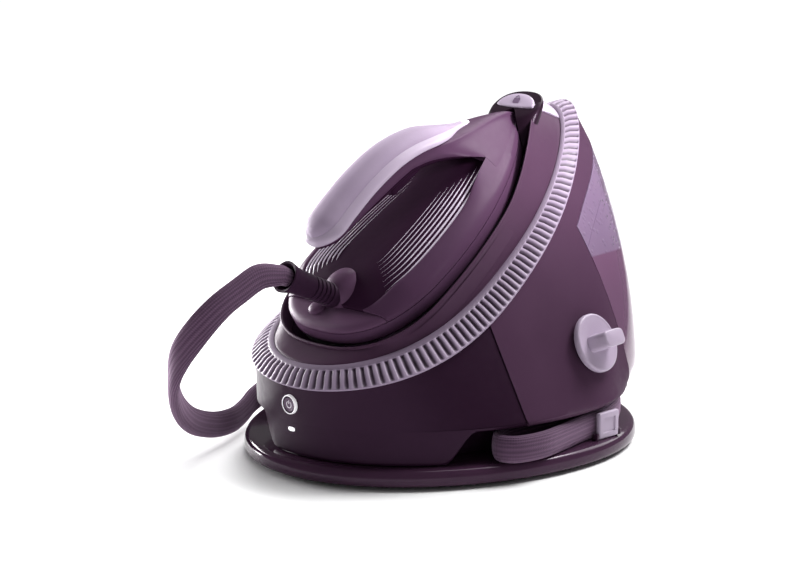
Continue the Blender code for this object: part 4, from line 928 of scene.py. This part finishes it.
def turned(name, profile, matrix, sides=64, looped=True):
    """Lathe work: a circle extruded and resized step by step along an (r, z) outline in mm, then put in place."""
    bpy.ops.object.select_all(action="DESELECT")
    radius, height = profile[0]
    fill = "NOTHING" if looped else "TRIFAN"
    bpy.ops.mesh.primitive_circle_add(vertices=sides, radius=radius * MM, fill_type=fill,
                                      location=(0, 0, height * MM))
    piece = bpy.context.object
    piece.name = name
    bpy.ops.object.transform_apply(location=True, rotation=True, scale=True)
    bpy.ops.object.mode_set(mode="EDIT")
    bpy.ops.mesh.select_mode(type="EDGE")
    bpy.ops.mesh.select_all(action="SELECT")
    if not looped:
        bpy.ops.mesh.region_to_loop()
    for r, z in profile[1:] + (profile[:1] if looped else []):
        bpy.ops.mesh.extrude_edges_move(TRANSFORM_OT_translate={"value": (0, 0, (z - height) * MM)})
        bpy.ops.transform.resize(value=(r / radius, r / radius, 1), center_override=(0, 0, z * MM))
        radius, height = r, z
    if not looped:
        bpy.ops.mesh.merge(type="CENTER")
    bpy.ops.mesh.select_all(action="SELECT")
    bpy.ops.mesh.remove_doubles(threshold=0.001 * MM)
    bpy.ops.mesh.normals_make_consistent(inside=False)
    bpy.ops.object.mode_set(mode="OBJECT")
    set_place(piece, matrix)
    return piece


def facing(direction, origin):
    """Place whose Z axis points along a direction."""
    return Matrix.Translation(origin) @ direction.to_track_quat("Z", "Y").to_matrix().to_4x4()


def make_boot():
    """Knuckle on the heel, the grooved boot and its bell mouth."""
    place = facing(BOOT_END - BOOT_ROOT, BOOT_ROOT)
    length = (BOOT_END - BOOT_ROOT).length / MM
    profile = [(7, 0), (9.2, 0), (9.6, 0.4)]
    for i in range(5):
        z = 7.5 + i * 4.6
        profile += [(9.7, z), (9.6, z + 0.25), (8.3, z + 0.5), (8.2, z + 1.5), (9.6, z + 1.8), (9.7, z + 2.05)]
    profile += [(9.9, length - 15), (10.6, length - 9), (11.9, length - 4), (12.6, length - 1), (12.7, length - 0.3),
                (12.3, length), (10.8, length - 0.3), (9.2, length - 3), (8.2, length - 9), (7, length - 12)]
    settle(turned("hose_boot_grooved", profile, place), "iron", BOOT_RUBBER, ["hose_boot"], 40)
    dome = ((18, -92, 20, 18.6), (25, -92, 19.6, 18.2), (30, -92, 19, 17.6), (34.5, -92, 17.6, 16.4),
            (38, -92.2, 15.4, 14.4), (40.8, -92.5, 12, 11.2), (42.5, -92.8, 8, 7.4), (43.3, -93, 4, 3.8),
            (43.5, -93, 1.5, 1.4))
    settle(skin("hose_knuckle_dome", oval_rows(dome, 64)), "iron", HEEL_MAUVE, ["hose_knuckle"], 50)
    bump = ((24, 1), (26.6, 1), (28, 0.93), (29, 0.78), (29.7, 0.5), (29.9, 0.2))
    rows = stacked_rows(IRON @ Matrix.Translation(Vector((-14, -115, 0)) * MM), (8, 7.5), (2, 2), bump, 48)
    settle(skin("heel_lamp_bump", rows), "iron", HEEL_MAUVE, ["heel_lamp"], 50)


def make_lock():
    """Black hood saddled behind the nose and its lilac release button with a plain padlock mark."""
    saddle = ((8, 111, 5, 21), (10.5, 114, 9, 24.5), (14, 118.5, 14, 26), (18.5, 125, 18.5, 26.6),
              (23, 131.5, 20.6, 26.6), (26.5, 136.5, 21.4, 26.4), (29, 139.5, 21, 26), (30.8, 141.5, 19.6, 25),
              (31.6, 142.5, 17.6, 23.6))
    hood = skin("lock_hood_black", oval_rows(saddle, 120))
    nose = skin("nose_tool", [on_iron(iron_row(1.8 * MM, h)) for h in (-20 * MM, 80 * MM)])
    cut(hood, nose)
    cut(hood, skin("button_tool", button_rows(0.5, ((-5.5, 1), (8, 1)))))
    settle(hood, "base", HOOD_BLACK, ["lock_hood"], 35)
    top = ((-2.6, 1), (1.2, 1), (1.7, 0.975), (2.0, 0.93), (2.2, 0.84), (2.3, 0.5))
    settle(skin("lock_release_button", button_rows(0, top)), "lock_button", LILAC, ["lock_button"],
           40)
    spots = [(3.4 * power(cos(a), 6), 143.9 + 2.3 * power(sin(a), 6)) for a in turns(32)]
    rows = [[iron_at(u, q, mark_height(q) + rise) for u, q in spots] for rise in (-0.4, 0.35)]
    settle(skin("padlock_mark_body", rows), "lock_button", MARK_GREY, ())
    bow = []
    for i in range(25):
        t = pi * i / 24
        q = 146.0 + 2.6 * sin(t)
        bow.append((Vector((2.2 * cos(t), q, mark_height(q))), Vector((cos(t), sin(t), 0))))
    settle(skin("padlock_mark_bow", wire_rows(IRON, bow, 0.45, 0.4)), "lock_button", MARK_GREY, (),
           60)


def mark_height(q):
    """Top of the release button on its middle line."""
    return 34.5 + 0.36 * (q - 144.6)


def button_rows(grow, levels):
    """Half-round release button: straight towards the nose, arched and rising to the rear."""
    rows = []
    for h, share in levels:
        row = []
        for a in turns(64):
            v = (12 + grow) * power(sin(a), 1.9) if sin(a) > 0 else (2 + grow) * power(sin(a), 2.4)
            u = (20 + grow) * power(cos(a), 2.1)
            row.append(iron_at(u * share, 143.5 + (v - 3) * share, 31.3 + h + 0.18 * v))
        rows.append(row)
    return rows


def body_front(z):
    """Front wall of the body on its middle line."""
    low, high = 0.0, 1.0
    for _ in range(40):
        middle = (low + high) / 2
        if body_point(-pi / 2, 0, middle).z < z:
            low = middle
        else:
            high = middle
    return body_point(-pi / 2, 0, low)


def make_controls():
    """Power button in its light ring with a plain power mark, and the lamp under it."""
    height, reach = 56.6 * MM, 5 * MM
    lean = (body_front(height + reach).y - body_front(height - reach).y) / (2 * reach)
    face = facing(Vector((0, -1, lean)), body_front(height))
    ring = [(6.8, -2), (6.8, 1.6), (6.95, 1.85), (7.4, 1.85), (7.6, 1.5), (7.7, 0.4), (7.7, -1)]
    settle(turned("power_light_ring", ring, face), "base", BEZEL_WHITE, ())
    seat = [(6.0, -2), (6.0, 1.2), (6.15, 1.5), (6.6, 1.5), (6.75, 1.2), (6.75, -2)]
    settle(turned("power_button_seat", seat, face), "base", DARK_COVER, ["power_bezel"])
    cap = [(5.7, -6), (5.7, 1.0), (5.5, 1.35), (5.1, 1.4), (4.7, 1.15), (2.6, 0.9), (0.6, 0.85)]
    settle(turned("power_button_cap", cap, face, 64, False), "power_button", BUTTON_GREY, ["power_button"])
    arc = []
    for i in range(41):
        t = pi / 2 + radians(35) + radians(290) * i / 40
        arc.append((Vector((2.6 * cos(t), 2.6 * sin(t), 1.05)), Vector((cos(t), sin(t), 0))))
    bar = [(Vector((0, y, 1.05)), Vector((1, 0, 0))) for y in (0.6, 3.3)]
    for name, spots in (("power_mark_arc", arc), ("power_mark_bar", bar)):
        settle(skin(name, wire_rows(face, spots, 0.38, 0.22)), "power_button", MARK_WHITE, (), 60)
    lamp_face = facing(Vector((0, -1, 0)), body_point(-pi / 2, 0.8 * MM, 0, -5 * MM))
    lens = ((-4, 1), (0.3, 1), (0.55, 0.93), (0.65, 0.8))
    rows = stacked_rows(lamp_face, (3.6, 1.6), (3, 3), lens, 48)
    settle(skin("indicator_lamp_lens", rows), "base", LAMP, ["indicator_lens"])


def make_knob():
    """Descaling knob: flat disc with a blunt grip block standing out of it."""
    place = facing(KNOB_AXIS, KNOB_PLACE)
    disc = [(22.6, 2.5), (23.6, 3.1), (24, 4.2), (24, 6.6), (23.7, 7.5), (23, 8.1), (22, 8.3), (21.2, 8.0),
            (20.6, 7.9), (2, 7.9)]
    knob = turned("descale_knob_disc", disc, place, 96, False)
    grip = ((5, 1.04), (8, 1.03), (20, 1), (24, 1), (25.2, 0.975), (25.9, 0.92), (26.2, 0.85))
    rows = stacked_rows(place, (12.5, 6.8), (5, 4), grip, 64)
    cut(knob, skin("knob_bar_tool", rows), "UNION")
    settle(knob, "knob", LILAC, ["descale_knob"], 35)


def make_clip():
    """Hose clip: rounded square with a raised frame round a sunk panel."""
    low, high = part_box("hose_clip")
    centre, size = (low + high) / 2, high - low
    bpy.ops.object.select_all(action="DESELECT")
    bpy.ops.mesh.primitive_cube_add(size=1, location=centre)
    clip = bpy.context.object
    clip.name = "hose_clip_frame"
    clip.scale = size
    bpy.ops.object.transform_apply(location=True, rotation=True, scale=True)
    bpy.ops.object.mode_set(mode="EDIT")
    bpy.ops.mesh.select_all(action="SELECT")
    bpy.ops.mesh.bevel(offset=1.6 * MM, segments=4, affect="EDGES")
    bpy.ops.mesh.select_all(action="DESELECT")
    bpy.ops.object.mode_set(mode="OBJECT")
    for face in clip.data.polygons:
        face.select = face.normal.x > 0.99
    bpy.ops.object.mode_set(mode="EDIT")
    bpy.ops.mesh.inset(thickness=3 * MM)
    bpy.ops.mesh.inset(thickness=0.6 * MM, depth=-1.1 * MM)
    bpy.ops.object.mode_set(mode="OBJECT")
    settle(clip, "clip", LILAC, ["hose_clip"], 35)


def make_stage():
    """Pale floor, soft light and the camera at the photographed angle."""
    bpy.ops.object.select_all(action="DESELECT")
    bpy.ops.mesh.primitive_plane_add(size=12, location=(0, 0, -0.0004))
    floor = bpy.context.object
    floor.name = "studio_floor"
    # Matt background paper: white with a faint tooth.
    floor.data.materials.append(moulded("pale_floor_paper", "FFFFFF", "FCFCFD", 0.6, 3.0, 0.01))
    world = bpy.data.worlds.new("studio") if not bpy.data.worlds else bpy.data.worlds[0]
    bpy.context.scene.world = world
    world.use_nodes = True
    feed(world.node_tree, world.node_tree.nodes["Background"], None,
         {"Color": linear("FFFFFF"), "Strength": WORLD_LIGHT})
    bpy.context.scene.view_settings.view_transform = "Standard"
    sky = bpy.data.lights.new("overhead_diffuser", "SUN")
    sky.energy = OVERHEAD_LIGHT
    sky.angle = OVERHEAD_ANGLE
    new_object("overhead_diffuser", sky).matrix_world = facing(OVERHEAD_FROM, Vector((0, 0, 2)))
    for name, place, aim, size, watts, spread in SOFTBOXES:
        light = bpy.data.lights.new(name, "AREA")
        light.size = size
        light.energy = watts
        light.spread = radians(spread)
        lamp = new_object(name, light)
        lamp.matrix_world = facing(Vector(place) - Vector(aim), Vector(place))
        lamp.visible_camera = False
    lens = bpy.data.cameras.new("photo_camera")
    lens.sensor_width = SENSOR_WIDTH
    lens.sensor_fit = "HORIZONTAL"
    lens.lens = SENSOR_WIDTH * FOCAL_LENGTH / PHOTO_WIDTH
    camera = new_object("photo_camera", lens)
    back = Vector((sin(VIEW_TURN) * cos(VIEW_RISE), -cos(VIEW_TURN) * cos(VIEW_RISE), sin(VIEW_RISE)))
    target = Vector((cos(VIEW_TURN), sin(VIEW_TURN), 0)) * AIM_SIDE + Vector((0, 0, AIM_HEIGHT))
    camera.matrix_world = facing(back, target + back * VIEW_DISTANCE)
    bpy.context.scene.camera = camera


for make in (make_stage, make_hose, make_plate, make_body, make_tank, make_ring, make_collar, make_rear_cap,
             make_shell, make_cover, make_handle, make_boot, make_lock, make_controls, make_knob, make_clip):
    make()

# Nodes of the frame that stay showing
for finish, names in (
        (SATIN_PLUM, ("base_tray", "tank_bulkhead")),
        (FOOT_RUBBER, ("foot_1", "foot_2", "foot_3", "foot_4", "mains_gland")),
        (DARK_COVER, ("dock_tray", "steam_trigger")),
        (SILICONE, ("sole_rest_1", "sole_rest_2")),
        (GLOSS_PLUM, ("clip_ear_1", "clip_ear_2", "hose_inlet")),
        (SOLE_METAL, ("soleplate", "heater_block", "boiler", "descale_plug")),
        (BRASS, ("steam_valve",)),
        (BOARD, ("control_board",)),
        (HOOD_BLACK, ("switch_body", "descale_socket", "pump"))):
    for name in names:
        dress(name, finish)
